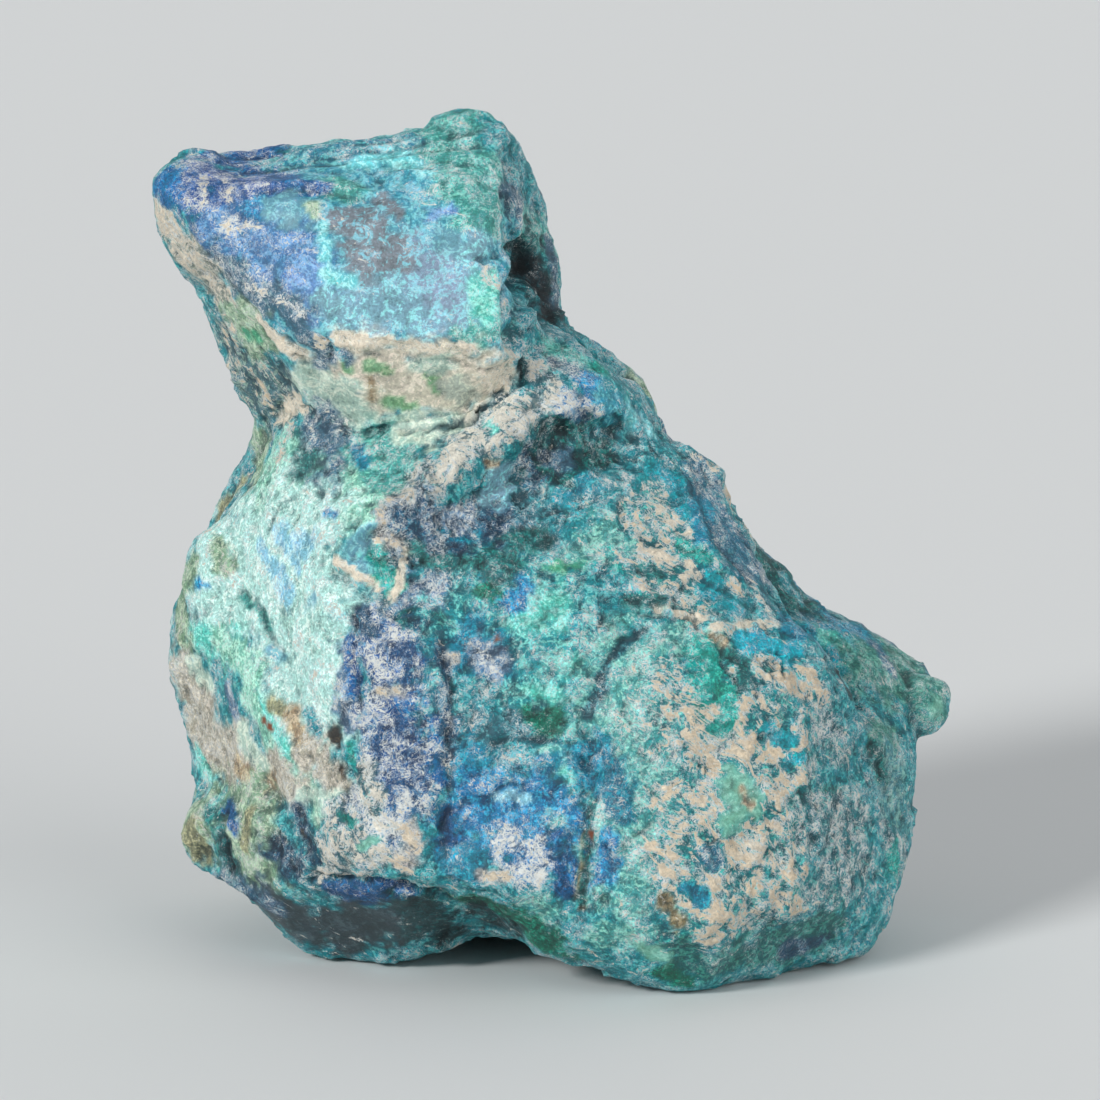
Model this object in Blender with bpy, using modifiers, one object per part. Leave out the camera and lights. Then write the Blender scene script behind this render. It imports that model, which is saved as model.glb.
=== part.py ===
"""A rough chrysocolla specimen: one natural stone, 132 mm tall, standing on its own base.

The stone is built the way rock breaks. Each mass is a convex block with flat fracture faces,
given by its corners. The blocks are fused, worn and roughened, then hollows, cracks and
ledges are worked into the skin, and the lowest points are ground flat where it stands.
Frame: metres, +Z up, +X to the right of the face with the blue block, -Y out of that face.
"""

import bmesh
import bpy
import numpy as np
from mathutils import Vector, noise

MM = 0.001

STONE_NAME = "chrysocolla_stone"

# Driving sizes, in millimetres
FUSE_VOXEL = 1.4
STANDING_CUT = 1.5

# How the edges are worn, and how many facets the finished skin has
WEAR_ROUNDS = 3
WEAR_STRENGTH = 0.5
TRIANGLES = 9400

# How the skin is roughened: the size of the feature, and how far it moves the skin
BEND = (22, 0.5)
CHIPS = (11, 0.5)
LUMPS = (7, 0.55)
GRAIN = (3, 0.12)
BEND_OFFSETS = [(0, 0, 0), (31, 7, 5), (3, 43, 11)]

# The front of the head broke along one smooth plane, so it keeps little of that roughness
SMOOTH_FACE = (-27, -18, 110)
SMOOTH_REACH = 27
SMOOTH_SHARE = 0.3

# Corners of each block, in millimetres, as (right, back, up) from the middle of the base
BLOCKS = {
    "head": [
        (-63, 1, 120), (-60, -4, 121), (-40, -13, 120), (-12, -13, 119), (-8, -12, 117), (-4, -18, 99),
        (-8, -20, 97), (-23, -21, 99), (-33, -21, 100), (-36, -19, 98), (-60, 6, 124), (-57, 9, 125),
        (-51, 10, 125), (-41, 10, 126), (-24, 6, 128), (-4, 5, 122), (-1, 9, 115), (1, 12, 106),
        (2, 12, 101), (-60, 3, 111), (-55, 4, 103), (-52, 4, 95), (-50, 5, 86), (-2, -4, 97),
        (-56, 15, 118), (-46, 26, 121), (-20, 27, 125), (-4, 22, 122), (1, 22, 100), (-46, 18, 82),
        (-1, 22, 96),
    ],
    "head_peak": [
        (-19, 4, 129), (-16, 5, 131), (-11, 3, 131), (-8, 2, 131), (-4, 5, 123), (-17, -9, 120),
        (-8, -9, 119), (-24, 2, 127), (-1, 9, 115), (-16, 16, 130), (-9, 16, 129), (-2, 20, 118),
        (-22, 16, 126),
    ],
    "chin": [
        (-35, -18, 96), (-33, -20, 98), (-23, -20, 97), (-12, -19, 96), (-5, -17, 96), (-4, -12, 92),
        (-9, -14, 88), (-13, -14, 85), (-17, -14, 84), (-30, -13, 84), (-38, -9, 86), (-46, 3, 83),
        (-52, 5, 94), (-49, 5, 86), (-46, 18, 84), (0, 18, 94), (-2, 12, 85), (-46, 14, 82),
    ],
    "neck": [
        (-46, 3, 82), (-39, -8, 85), (-23, -14, 83), (-11, -15, 85), (-3, -13, 91), (4, 2, 95),
        (-46, 3, 79), (-49, 2, 75), (-39, -14, 76), (-26, -21, 77), (-18, -22, 79), (-8, -17, 84),
        (2, -13, 88), (-45, 20, 82), (4, 20, 93), (-48, 22, 75), (14, 20, 86),
    ],
    "crest": [
        (2, -12, 92), (6, -15, 86), (-5, -16, 89), (-2, -18, 85), (-14, -21, 82), (-10, -21, 78),
        (-25, -27, 75), (-23, -27, 71), (-30, -29, 66), (-27, -30, 62), (0, -4, 84), (-24, -10, 66),
        (-10, -10, 76),
    ],
    "shoulder": [
        (-3, -7, 99), (4, 3, 96), (5, 4, 95), (10, 4, 93), (14, 4, 89), (17, 3, 84), (18, 1, 80),
        (14, -11, 85), (6, -14, 86), (-3, -13, 90), (8, -8, 88), (4, 22, 94), (14, 24, 87),
        (18, 22, 78), (0, 0, 78), (16, 0, 74),
    ],
    "left_face": [
        (-49, 2, 74), (-52, 2, 70), (-57, 4, 62), (-59, 6, 56), (-61, 8, 51), (-61, 8, 46),
        (-60, 7, 41), (-59, 5, 34), (-58, 3, 25), (-39, -15, 75), (-25, -26, 75), (-27, -29, 69),
        (-30, -32, 60), (-31, -35, 48), (-30, -36, 39), (-30, -36, 31), (-47, -20, 28), (-53, -6, 62),
        (-55, -6, 49), (-45, -20, 42), (-48, 26, 74), (-54, 32, 62), (-57, 33, 50), (-54, 32, 32),
        (-20, 34, 70),
    ],
    "left_foot": [
        (-57, 0, 24), (-59, -3, 20), (-59, -5, 15), (-59, -7, 13), (-55, -10, 10), (-49, -18, 10),
        (-45, -22, 11), (-35, -32, 14), (-31, -37, 18), (-30, -36, 32), (-48, -20, 26), (-51, -14, 25),
        (-54, 24, 30), (-55, 22, 20), (-48, 20, 12), (-40, 25, 28),
    ],
    "pillar": [
        (-28, -32, 59), (-19, -30, 58), (-29, -36, 47), (-16, -36, 46), (-30, -38, 32), (-15, -39, 32),
        (-31, -37, 19), (-24, -39, 19), (-16, -39, 18), (-28, -10, 55), (-18, -10, 55), (-28, -10, 18),
        (-16, -10, 18),
    ],
    "middle": [
        (-24, -23, 72), (-12, -18, 73), (2, -8, 79), (16, -3, 80), (8, -27, 59), (9, -34, 47),
        (6, -38, 30), (-15, -37, 30), (-17, -34, 45), (-20, -26, 59), (-8, -27, 53), (-22, 10, 70),
        (14, 20, 76), (8, 10, 20), (-22, 0, 20),
    ],
    "blue_ledge": [
        (-16, -37, 31), (-8, -37, 31), (2, -37, 31), (5, -39, 25), (-16, -40, 18), (-8, -42, 18),
        (1, -42, 18), (3, -41, 21), (3, -38, 16), (-16, -10, 30), (5, -10, 30), (-16, -10, 14),
        (4, -10, 12),
    ],
    "front_toe": [
        (-6, -41, 17), (3, -40, 23), (8, -40, 25), (8, -42, 11), (-1, -37, 9), (-8, -27, 5),
        (-12, -26, 7), (2, -32, 4), (8, -35, 4), (14, -36, 2), (-10, -10, 12), (10, -8, 12),
        (-8, -10, 3), (10, -5, 2),
    ],
    "right_block": [
        (16, -26, 58), (21, -27, 57), (24, -28, 56), (32, -25, 55), (38, -22, 54), (47, -19, 42),
        (48, -20, 34), (49, -20, 26), (50, -20, 18), (51, -19, 11), (8, -36, 46), (6, -40, 31),
        (11, -43, 11), (22, -43, 12), (36, -36, 12), (37, -34, 24), (36, -30, 42), (24, -38, 38),
        (8, -28, 53), (7, -42, 16), (55, 10, 32), (44, 18, 44), (54, 12, 14), (30, 20, 50),
    ],
    "right_base": [
        (11, -42, 11), (22, -43, 11), (36, -35, 12), (44, -27, 11), (51, -18, 10), (55, -10, 8), (53, -13, 2),
        (50, -14, -1), (33, -27, -1), (26, -32, -1), (22, -35, -2), (17, -36, -1), (14, -36, 0),
        (8, -34, 3), (54, 10, 12), (50, 14, 2), (10, 14, 1), (10, 10, 10),
    ],
    "right_side": [
        (48, -18, 35), (59, -1, 31), (59, -2, 23), (58, -3, 19), (57, -3, 14), (51, -18, 10),
        (55, -8, 8), (48, -19, 26), (50, -12, 37), (56, 16, 32), (57, 18, 20), (54, 14, 12),
        (40, 20, 34),
    ],
    "right_nub": [
        (57, -3, 14), (58, -2, 10), (58, -4, 9), (55, -8, 8), (52, -14, 15), (52, -15, 10),
        (56, 6, 18), (54, 8, 12),
    ],
    "mid_slope": [
        (11, -13, 77), (17, -6, 79), (24, -3, 78), (21, -9, 73), (22, -12, 68), (24, -15, 63),
        (31, -15, 59), (37, -18, 53), (22, -25, 57), (8, -28, 59), (8, -30, 51), (6, -17, 70),
        (16, 10, 74), (22, 14, 72), (30, 16, 50), (10, 10, 50),
    ],
    "slope_side": [
        (23, -3, 78), (26, 0, 76), (27, 1, 73), (30, 3, 67), (33, 4, 61), (34, -5, 55), (38, -12, 52),
        (21, -8, 73), (22, -11, 67), (24, -14, 63), (32, -14, 58), (24, 22, 71), (32, 24, 58),
        (36, 22, 50), (20, 10, 50),
    ],
    "small_knob": [
        (34, 7, 61), (36, 8, 60), (37, 9, 58), (40, 10, 54), (43, 10, 51), (34, -4, 55), (39, -5, 52),
        (34, 22, 56), (40, 24, 50), (34, 10, 45),
    ],
    "spur": [
        (40, 4, 51), (43, 10, 51), (47, 10, 50), (51, 10, 49), (54, 11, 46), (58, 12, 43),
        (62, 12, 40), (64, 12, 38), (65, 11, 36), (64, 10, 34), (62, 8, 33), (59, 2, 31), (39, -9, 49),
        (45, -7, 45), (49, -8, 41), (49, -10, 38), (57, -1, 36), (44, 26, 46), (54, 28, 40),
        (62, 20, 38), (52, 24, 30), (36, 20, 46),
    ],
    "keel": [
        (-45, -21, 11), (-35, -31, 14), (-31, -35, 17), (-15, -37, 17), (-12, -24, 9), (-46, -10, 4),
        (-42, -12, 1), (-38, -14, 0), (-32, -16, -1), (-24, -18, -1), (-16, -18, 0), (-24, -31, 12),
        (-42, 16, 8), (-34, 20, 1), (-12, 18, 1), (-12, 0, 10),
    ],
    "recess": [
        (-15, -32, 15), (-5, -30, 14), (2, -28, 7), (-13, -14, 3), (-5, -18, 2), (-12, 10, 4),
        (8, 10, 4), (-12, 10, 14), (8, 10, 14),
    ],
    "core": [
        (-40, -24, 68), (-28, -20, 76), (0, -12, 84), (12, -14, 76), (6, -28, 56), (-20, -27, 58),
        (8, -36, 28), (12, -36, 14), (-28, -34, 44), (-30, -34, 18), (12, -34, 44), (-40, 20, 70),
        (20, 20, 70), (30, 20, 20), (-40, 20, 20),
    ],
    "back_lower": [
        (-48, 34, 14), (-53, 32, 28), (-50, 36, 40), (-26, 43, 44), (8, 42, 56), (26, 38, 58),
        (44, 34, 38), (50, 31, 26), (46, 30, 6), (-38, 32, 4), (0, 40, 0), (-30, 10, 3), (40, 8, 3),
        (-40, 10, 55), (36, 12, 48), (22, 38, -2), (-24, 36, -2),
    ],
    "back_left": [
        (-54, 28, 60), (-56, 30, 44), (-50, 37, 46), (-30, 42, 52), (-12, 41, 62), (-14, 37, 74),
        (-40, 28, 74), (-44, 12, 60), (-10, 12, 60), (-34, 34, 34), (-18, 38, 38),
    ],
    "back_upper": [
        (-48, 28, 66), (-18, 37, 66), (-4, 38, 72), (16, 35, 74), (22, 27, 76), (32, 31, 54),
        (-20, 32, 86), (6, 29, 93), (-43, 22, 80), (-20, 6, 70), (16, 6, 66), (-44, 20, 50),
        (30, 18, 50), (14, 38, 60), (-36, 25, 84),
    ],
}


# Marks worked into the skin: a path through (right, back, up), its reach to each side, and
# how far the skin moves under it, where minus is inward
MARKS = {
    "side_hollow": ([(-5, -6, 112), (-1, 2, 109), (-1, 3, 104), (-2, -3, 102)], 6, -4.5),
    "side_hollow_floor": ([(-4, -11, 100), (1, -5, 99), (5, 3, 98)], 3, 1.8),
    "rim_notch": ([(-12, -16, 111), (-6, -12, 113)], 3, -2.2),
    "chin_rim": ([(-34, -20, 99), (-23, -21, 98), (-10, -20, 96), (-5, -18, 98)], 2.5, 1.4),
    "under_chin_rim": ([(-33, -19, 95), (-23, -20, 94), (-10, -19, 92)], 3.5, -1.4),
    "rim_pit": ([(-36, -18, 98), (-34, -19, 96)], 2.5, -2.4),
    "chin_crack": ([(-33, -12, 85), (-23, -15, 85), (-17, -16, 85), (-12, -15, 87)], 2, -2.6),
    "chin_end_crack": ([(-12, -15, 87), (-9, -15, 89), (-5, -14, 92), (-4, -13, 100)], 2.4, -2.8),
    "chin_left_crack": ([(-46, 2, 83), (-42, -4, 85), (-38, -9, 87)], 2, -2.4),
    "cheek_edge": ([(-58, 1, 112), (-50, -6, 106), (-42, -14, 101), (-37, -18, 98)], 2.5, 1.2),
    "top_dip": ([(-46, -10, 124), (-45, 2, 127), (-45, 12, 128)], 5, -1.6),
    "neck_pit": ([(-36, -17, 75), (-35, -18, 78)], 2.5, -2),
    "neck_patch": ([(-38, -13, 83), (-36, -16, 79)], 6, -1),
    "crest_edge": ([(4, -14, 87), (-8, -17, 84), (-17, -23, 79), (-25, -28, 72)], 3, 1.6),
    "deep_hollow": ([(-2, -15, 82), (5, -10, 81), (12, -7, 80)], 6, -3.6),
    "dark_hollow": ([(-20, -25, 71), (-12, -22, 73), (-2, -18, 76)], 7, -2.6),
    "hollow_crack": ([(-2, -18, 74), (4, -14, 76), (8, -12, 77)], 2.5, -1.6),
    "left_groove": ([(-51, -8, 63), (-45, -17, 57), (-42, -21, 52), (-41, -24, 46)], 4, -2.4),
    "rust_hollow": ([(-40, -25, 44), (-36, -28, 41), (-32, -32, 36)], 4, -2),
    "brown_pit": ([(-34, -31, 42), (-32, -33, 39)], 2.6, -2.4),
    "pillar_groove": ([(-31, -32, 57), (-30, -35, 48), (-31, -35, 41)], 2.6, -2.2),
    "waist": ([(-57, -1, 27), (-49, -17, 28), (-39, -28, 30)], 4, -1.2),
    "foot_dent_left": ([(-52, -15, 22), (-51, -16, 15)], 4, -2.4),
    "foot_dent_middle": ([(-43, -25, 21), (-42, -26, 16)], 5, -2.2),
    "foot_dent_right": ([(-39, -29, 27), (-37, -31, 22)], 3, -1.8),
    "foot_ridge": ([(-47, -21, 26), (-47, -21, 14)], 3, 1.2),
    "wedge": ([(-30, -28, 66), (-25, -29, 63)], 5, 1.8),
    "under_wedge": ([(-34, -27, 64), (-29, -30, 61), (-24, -30, 58)], 2.4, -2.4),
    "pillar_brow": ([(-24, -31, 57), (-17, -31, 54), (-12, -31, 52)], 3.5, 1.2),
    "pillar_pocket": ([(-22, -32, 60), (-16, -30, 58)], 4, -1.8),
    "middle_lump_left": ([(-9, -29, 58), (-3, -29, 60)], 6, 1.6),
    "middle_lump_right": ([(2, -30, 56), (5, -31, 50)], 5, 1.4),
    "middle_hollow": ([(-12, -33, 47), (-4, -33, 46), (3, -34, 42)], 5, -1.8),
    "middle_lump_low": ([(-6, -36, 38), (2, -36, 36)], 5, 1.2),
    "ledge_shadow": ([(-15, -37, 33), (-8, -37, 34), (1, -37, 32)], 3, -0.9),
    "split": ([(11, -30, 53), (7, -34, 47), (6, -37, 36), (6, -39, 28), (4, -41, 18)], 2.6, -3.2),
    "block_wedge": ([(25, -29, 53), (26, -31, 48), (28, -34, 41)], 3.5, -1.6),
    "block_wedge_rim": ([(22, -27, 57), (27, -29, 52), (31, -31, 45)], 2.5, 1.2),
    "blue_facet": ([(30, -25, 54), (36, -23, 53)], 4, -1.4),
    "block_brow": ([(14, -26, 59), (21, -26, 58), (29, -24, 57), (38, -20, 56)], 2.5, 1.2),
    "block_right_edge": ([(39, -21, 54), (43, -19, 48), (48, -18, 40)], 2.5, 1.2),
    "block_hollow": ([(18, -40, 34), (24, -39, 33)], 7, -1.2),
    "block_shelf": ([(27, -39, 28), (37, -34, 30)], 5, 1.2),
    "block_low_hollow": ([(30, -39, 21), (40, -32, 22)], 6, -1.4),
    "spur_groove": ([(40, -7, 50), (45, -6, 46), (48, -8, 42), (50, -10, 38)], 3.4, -4.2),
    "spur_ridge": ([(48, 6, 50), (55, 5, 45), (62, 7, 39)], 4, 1.2),
    "spur_under": ([(55, 0, 36), (60, 5, 34)], 3.5, -1.6),
    "slope_valley": ([(23, -5, 77), (24, -9, 70), (29, -12, 62), (36, -14, 56)], 3, -1.2),
    "slope_step": ([(12, -14, 74), (18, -12, 70), (22, -14, 65)], 3.5, 1.4),
    "slope_shelf": ([(10, -20, 67), (16, -19, 65), (20, -20, 61)], 4, -1.5),
    "slope_corner": ([(17, -12, 72), (12, -17, 68)], 3, 1),
    "keel_chip": ([(-36, -27, 9), (-28, -26, 8)], 6, -1),
    "toe_gap": ([(-9, -22, 3), (-6, -30, 8)], 5, -2.4),
    "back_shelf": ([(-34, 41, 50), (-20, 42, 56), (-8, 41, 62)], 4, 1.4),
    "back_hollow": ([(-30, 40, 30), (-14, 42, 26), (0, 42, 32)], 12, -3.4),
    "back_split": ([(20, 42, 50), (17, 42, 36), (24, 41, 22), (22, 41, 8)], 3, -3.4),
    "back_crack": ([(-48, 36, 20), (-34, 38, 18), (-22, 39, 24)], 3, -2.6),
    "head_back_hollow": ([(-38, 26, 108), (-24, 27, 103)], 10, -4),
    "head_back_ridge": ([(-14, 24, 122), (-12, 25, 110), (-8, 23, 100)], 4, 2),
    "left_back_dent": ([(-56, 22, 50), (-57, 20, 40)], 9, -3),
    "right_back_dent": ([(52, 24, 24), (46, 32, 18)], 8, -3),
    "shoulder_back_dent": ([(14, 22, 84), (20, 20, 76)], 6, -2.4),
}


def clear_scene():
    for obj in list(bpy.data.objects):
        bpy.data.objects.remove(obj)


def add_block(bm, corners):
    """The convex block through these corners, with its fracture planes as its faces."""
    made = [bm.verts.new(Vector(corner) * MM) for corner in corners]
    hull = bmesh.ops.convex_hull(bm, input=made)
    spare = set(hull["geom_interior"] + hull["geom_unused"])
    inside = [corner for corner in made if corner in spare]
    bmesh.ops.delete(bm, geom=inside, context="VERTS")


def mesh_as_shown(obj):
    graph = bpy.context.evaluated_depsgraph_get()
    return bpy.data.meshes.new_from_object(obj.evaluated_get(graph))


def fused_blocks(collection):
    """The mesh of all blocks grown together into one closed skin, with its edges worn."""
    bm = bmesh.new()
    for corners in BLOCKS.values():
        add_block(bm, corners)
    bmesh.ops.recalc_face_normals(bm, faces=bm.faces)
    mesh = bpy.data.meshes.new("blocks")
    bm.to_mesh(mesh)
    bm.free()
    blocks = bpy.data.objects.new("blocks", mesh)
    collection.objects.link(blocks)
    fuse = blocks.modifiers.new("fuse", "REMESH")
    fuse.mode = "VOXEL"
    fuse.voxel_size = FUSE_VOXEL * MM
    wear = blocks.modifiers.new("wear", "SMOOTH")
    wear.factor = WEAR_STRENGTH
    wear.iterations = WEAR_ROUNDS
    skin = mesh_as_shown(blocks)
    bpy.data.objects.remove(blocks)
    return skin


def drop_sealed_hollows(mesh):
    """Keeps the outer skin and leaves out the small hollows sealed between the blocks."""
    bm = bmesh.new()
    bm.from_mesh(mesh)
    left = set(bm.verts)
    shells = []
    while left:
        shell = {left.pop()}
        edge_of_shell = list(shell)
        while edge_of_shell:
            vertex = edge_of_shell.pop()
            near = {edge.other_vert(vertex) for edge in vertex.link_edges} & left
            left -= near
            shell |= near
            edge_of_shell += near
        shells.append(shell)
    outer = max(shells, key=len)
    bmesh.ops.delete(bm, geom=[vertex for vertex in bm.verts if vertex not in outer], context="VERTS")
    bm.to_mesh(mesh)
    bm.free()


def points_and_normals(mesh):
    """Every vertex and its normal, in millimetres."""
    points = np.empty(len(mesh.vertices) * 3)
    mesh.vertices.foreach_get("co", points)
    normals = np.array([vertex.normal[:] for vertex in mesh.vertices])
    return points.reshape(-1, 3) / MM, normals


def distance_to_path(points, path):
    nearest = np.full(len(points), np.inf)
    for start, end in zip(path[:-1], path[1:]):
        along = np.array(end) - start
        share = np.clip((points - start) @ along / (along @ along), 0, 1)
        gap = points - start - share[:, None] * along
        nearest = np.minimum(nearest, np.linalg.norm(gap, axis=1))
    return nearest


def bell(distance, reach):
    """1 on the path, falling smoothly to 0 at the reach."""
    share = np.clip(distance / reach, 0, 1)
    return (1 - share * share) ** 2


def chip(point, size):
    """The tilted flat of the fracture cell that a point is in, from -1 to 1."""
    centre = noise.voronoi(point / size)[1][0]
    tilt = noise.cell_vector(centre * 7.3) * 2 - Vector((1, 1, 1))
    return max(-1, min(1, (point / size - centre).dot(tilt) * 1.6))


def roughness_at(point):
    """How far natural breakage moves the skin at a point, in millimetres."""
    lumps = noise.noise(point / LUMPS[0]) * LUMPS[1]
    grain = noise.noise(point / GRAIN[0]) * GRAIN[1]
    return chip(point, CHIPS[0]) * CHIPS[1] + lumps + grain


def bend_at(point):
    """The slow drift that takes the straightness out of the blocks, in millimetres."""
    place = point / BEND[0]
    return [noise.noise(place + Vector(offset)) * BEND[1] for offset in BEND_OFFSETS]


def work_skin(mesh):
    """Bends, roughens and marks the fused skin."""
    points, normals = points_and_normals(mesh)
    push = np.array([roughness_at(Vector(point)) for point in points])
    smooth = bell(np.linalg.norm(points - SMOOTH_FACE, axis=1), SMOOTH_REACH)
    push *= 1 - (1 - SMOOTH_SHARE) * np.minimum(1, smooth * 1.8)
    for path, reach, depth in MARKS.values():
        push += bell(distance_to_path(points, path), reach) * depth
    bend = np.array([bend_at(Vector(point)) for point in points])
    worked = np.round(points + bend + normals * push[:, None], 3)
    mesh.vertices.foreach_set("co", (worked * MM).ravel())
    mesh.update()


def thinned(mesh, collection):
    """The same skin with fewer and larger facets."""
    skin = bpy.data.objects.new("skin", mesh)
    collection.objects.link(skin)
    thin = skin.modifiers.new("thin", "DECIMATE")
    thin.ratio = TRIANGLES / sum(len(face.vertices) - 2 for face in mesh.polygons)
    facets = mesh_as_shown(skin)
    bpy.data.objects.remove(skin)
    return facets


def stand_on_flats(bm):
    """Grinds the lowest points flat and puts the middle of the footprint at the origin."""
    floor = min(vertex.co.z for vertex in bm.verts) + STANDING_CUT * MM
    everything = bm.verts[:] + bm.edges[:] + bm.faces[:]
    cut = bmesh.ops.bisect_plane(
        bm, geom=everything, dist=1e-6, plane_co=(0, 0, floor), plane_no=(0, 0, 1), clear_inner=True
    )
    rims = [edge for edge in cut["geom_cut"] if isinstance(edge, bmesh.types.BMEdge)]
    bmesh.ops.triangle_fill(bm, edges=rims, use_beauty=True)
    bmesh.ops.triangulate(bm, faces=bm.faces)
    low = [min(vertex.co[axis] for vertex in bm.verts) for axis in range(3)]
    high = [max(vertex.co[axis] for vertex in bm.verts) for axis in range(3)]
    middle = Vector(((low[0] + high[0]) / 2, (low[1] + high[1]) / 2, low[2]))
    bmesh.ops.translate(bm, vec=-middle, verts=bm.verts)
    return -middle


def chrysocolla_material():
    """Chrysocolla with azurite: dull blue-green, a little waxy where it broke cleanly."""
    material = bpy.data.materials.new("chrysocolla")
    material.use_nodes = True
    shader = material.node_tree.nodes["Principled BSDF"]
    shader.inputs["Base Color"].default_value = (0.09, 0.36, 0.40, 1)
    shader.inputs["Metallic"].default_value = 0
    shader.inputs["Roughness"].default_value = 0.62
    return material


def main():
    clear_scene()
    collection = bpy.data.collections.new("rough_chrysocolla")
    bpy.context.scene.collection.children.link(collection)
    skin = fused_blocks(collection)
    drop_sealed_hollows(skin)
    work_skin(skin)
    facets = thinned(skin, collection)
    bm = bmesh.new()
    bm.from_mesh(facets)
    moved = stand_on_flats(bm)
    bmesh.ops.recalc_face_normals(bm, faces=bm.faces)
    mesh = bpy.data.meshes.new(STONE_NAME)
    bm.to_mesh(mesh)
    bm.free()
    mesh.materials.append(chrysocolla_material())
    stone = bpy.data.objects.new(STONE_NAME, mesh)
    collection.objects.link(stone)
    return moved


SHIFT = main()
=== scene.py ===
# Rough chrysocolla specimen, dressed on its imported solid: one natural stone of several minerals
import math
import bmesh
import bpy
import numpy as np
from mathutils import Matrix, Vector, noise
from mathutils.bvhtree import BVHTree


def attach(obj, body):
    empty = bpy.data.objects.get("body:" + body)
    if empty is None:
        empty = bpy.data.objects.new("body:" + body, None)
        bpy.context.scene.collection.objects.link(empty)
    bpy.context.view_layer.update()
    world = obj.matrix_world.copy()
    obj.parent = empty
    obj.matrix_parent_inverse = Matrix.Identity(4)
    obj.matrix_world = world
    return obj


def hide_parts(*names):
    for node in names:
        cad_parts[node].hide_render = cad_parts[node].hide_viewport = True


mm = 0.001
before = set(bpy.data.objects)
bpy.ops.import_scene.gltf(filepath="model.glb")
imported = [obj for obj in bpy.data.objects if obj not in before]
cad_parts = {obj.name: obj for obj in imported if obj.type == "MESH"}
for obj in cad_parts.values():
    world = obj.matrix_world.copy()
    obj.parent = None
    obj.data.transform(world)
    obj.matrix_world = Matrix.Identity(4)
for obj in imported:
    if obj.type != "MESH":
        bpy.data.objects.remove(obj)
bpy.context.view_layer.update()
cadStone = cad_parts["chrysocolla_stone"]
print("frame loaded")


# Camera. Places on the photograph are in pixels of its 1100 x 1100 frame

photo = {
    "size": 1100,
    "focal": 4400,  # in pixels
    "away": 700,  # mm from the eye to the aim
    "lookDown": 10,  # degrees
    "aim": (-1.7, 0, 63.5),  # mm
    "sensor": 36,  # mm
    "nearest": 10,  # mm from the eye, where the view starts
}

tilt = math.radians(photo["lookDown"])
ahead = Vector((0, math.cos(tilt), -math.sin(tilt)))
upward = Vector((0, math.sin(tilt), math.cos(tilt)))
eye = (Vector(photo["aim"]) - ahead * photo["away"]) * mm

camera = bpy.data.objects.new("camera", bpy.data.cameras.new("camera"))
bpy.context.scene.collection.objects.link(camera)
camera.location = eye
camera.rotation_euler = ahead.to_track_quat("-Z", "Y").to_euler()
camera.data.sensor_width = photo["sensor"]
camera.data.lens = photo["focal"] / photo["size"] * photo["sensor"]
camera.data.clip_start = photo["nearest"] * mm
bpy.context.scene.camera = camera


def treeOf(mesh):
    return BVHTree.FromPolygons([v.co for v in mesh.vertices], [p.vertices[:] for p in mesh.polygons])


under = {"tree": treeOf(cadStone.data)}  # the skin as it is at the moment


def onStone(px, py):
    # the stone's surface under a place on the photograph, in mm
    middle = photo["size"] / 2
    across = Vector((px - middle, 0, 0)) + upward * (middle - py)
    ray = (ahead * photo["focal"] + across).normalized()
    hit = under["tree"].ray_cast(eye, ray)[0]
    if hit is None:
        hit = under["tree"].find_nearest(eye + ray * photo["away"] * mm)[0]
    return np.array(hit) / mm


def placed(spot):
    # a place in mm, given as x, y and z or as a place on the photograph
    return onStone(*spot) if len(spot) == 2 else np.array(spot, float)


def pathOf(places):
    return [placed(place) for place in places]


# Floor and light

studio = {
    "floor": "#dcdddc",
    "floorSize": 14,  # m
    "floorRoughness": 0.9,
    "lights": {  # where each comes from, how soft in degrees, strength
        "key": ((-1.65, -1.65, 1.25), 14, 2.25),
        "fill": ((2.2, -1.7, 0.9), 60, 1.25),
        "back": ((0.5, 2.2, 1.1), 90, 0.65),
    },
    "sky": "#eef3f8",
    "skyStrength": 0.36,
}


def linear(hexColour):
    # sRGB hex to the linear values that shaders use, by the curve of the sRGB standard
    parts = [int(hexColour[i:i + 2], 16) / 255 for i in (1, 3, 5)]
    return [p / 12.92 if p <= 0.04045 else ((p + 0.055) / 1.055) ** 2.4 for p in parts] + [1]


for name, (place, softness, strength) in studio["lights"].items():
    light = bpy.data.objects.new(name, bpy.data.lights.new(name, "SUN"))
    bpy.context.scene.collection.objects.link(light)
    light.data.angle = math.radians(softness)
    light.data.energy = strength
    light.location = place
    light.rotation_euler = (-Vector(place)).to_track_quat("-Z", "Y").to_euler()
world = bpy.data.worlds.new("studio")
world.use_nodes = True
sky = world.node_tree.nodes["Background"]
sky.inputs["Color"].default_value = linear(studio["sky"])
sky.inputs["Strength"].default_value = studio["skyStrength"]
bpy.context.scene.world = world
bpy.context.scene.view_settings.view_transform = "Standard"

floorMesh = bpy.data.meshes.new("floor")
bm = bmesh.new()
bmesh.ops.create_grid(bm, x_segments=1, y_segments=1, size=studio["floorSize"] / 2)
bm.to_mesh(floorMesh)
bm.free()
floor = bpy.data.objects.new("floor", floorMesh)
bpy.context.scene.collection.objects.link(floor)
paper = bpy.data.materials.new("mattPaper")  # matt backdrop paper, plain and even
paper.use_nodes = True
paperShader = paper.node_tree.nodes["Principled BSDF"]
paperShader.inputs["Base Color"].default_value = linear(studio["floor"])
paperShader.inputs["Roughness"].default_value = studio["floorRoughness"]
floorMesh.materials.append(paper)
print("camera, light and floor set")


# The stone's skin: the solid with its facets melted, then broken afresh in fine detail

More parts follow.
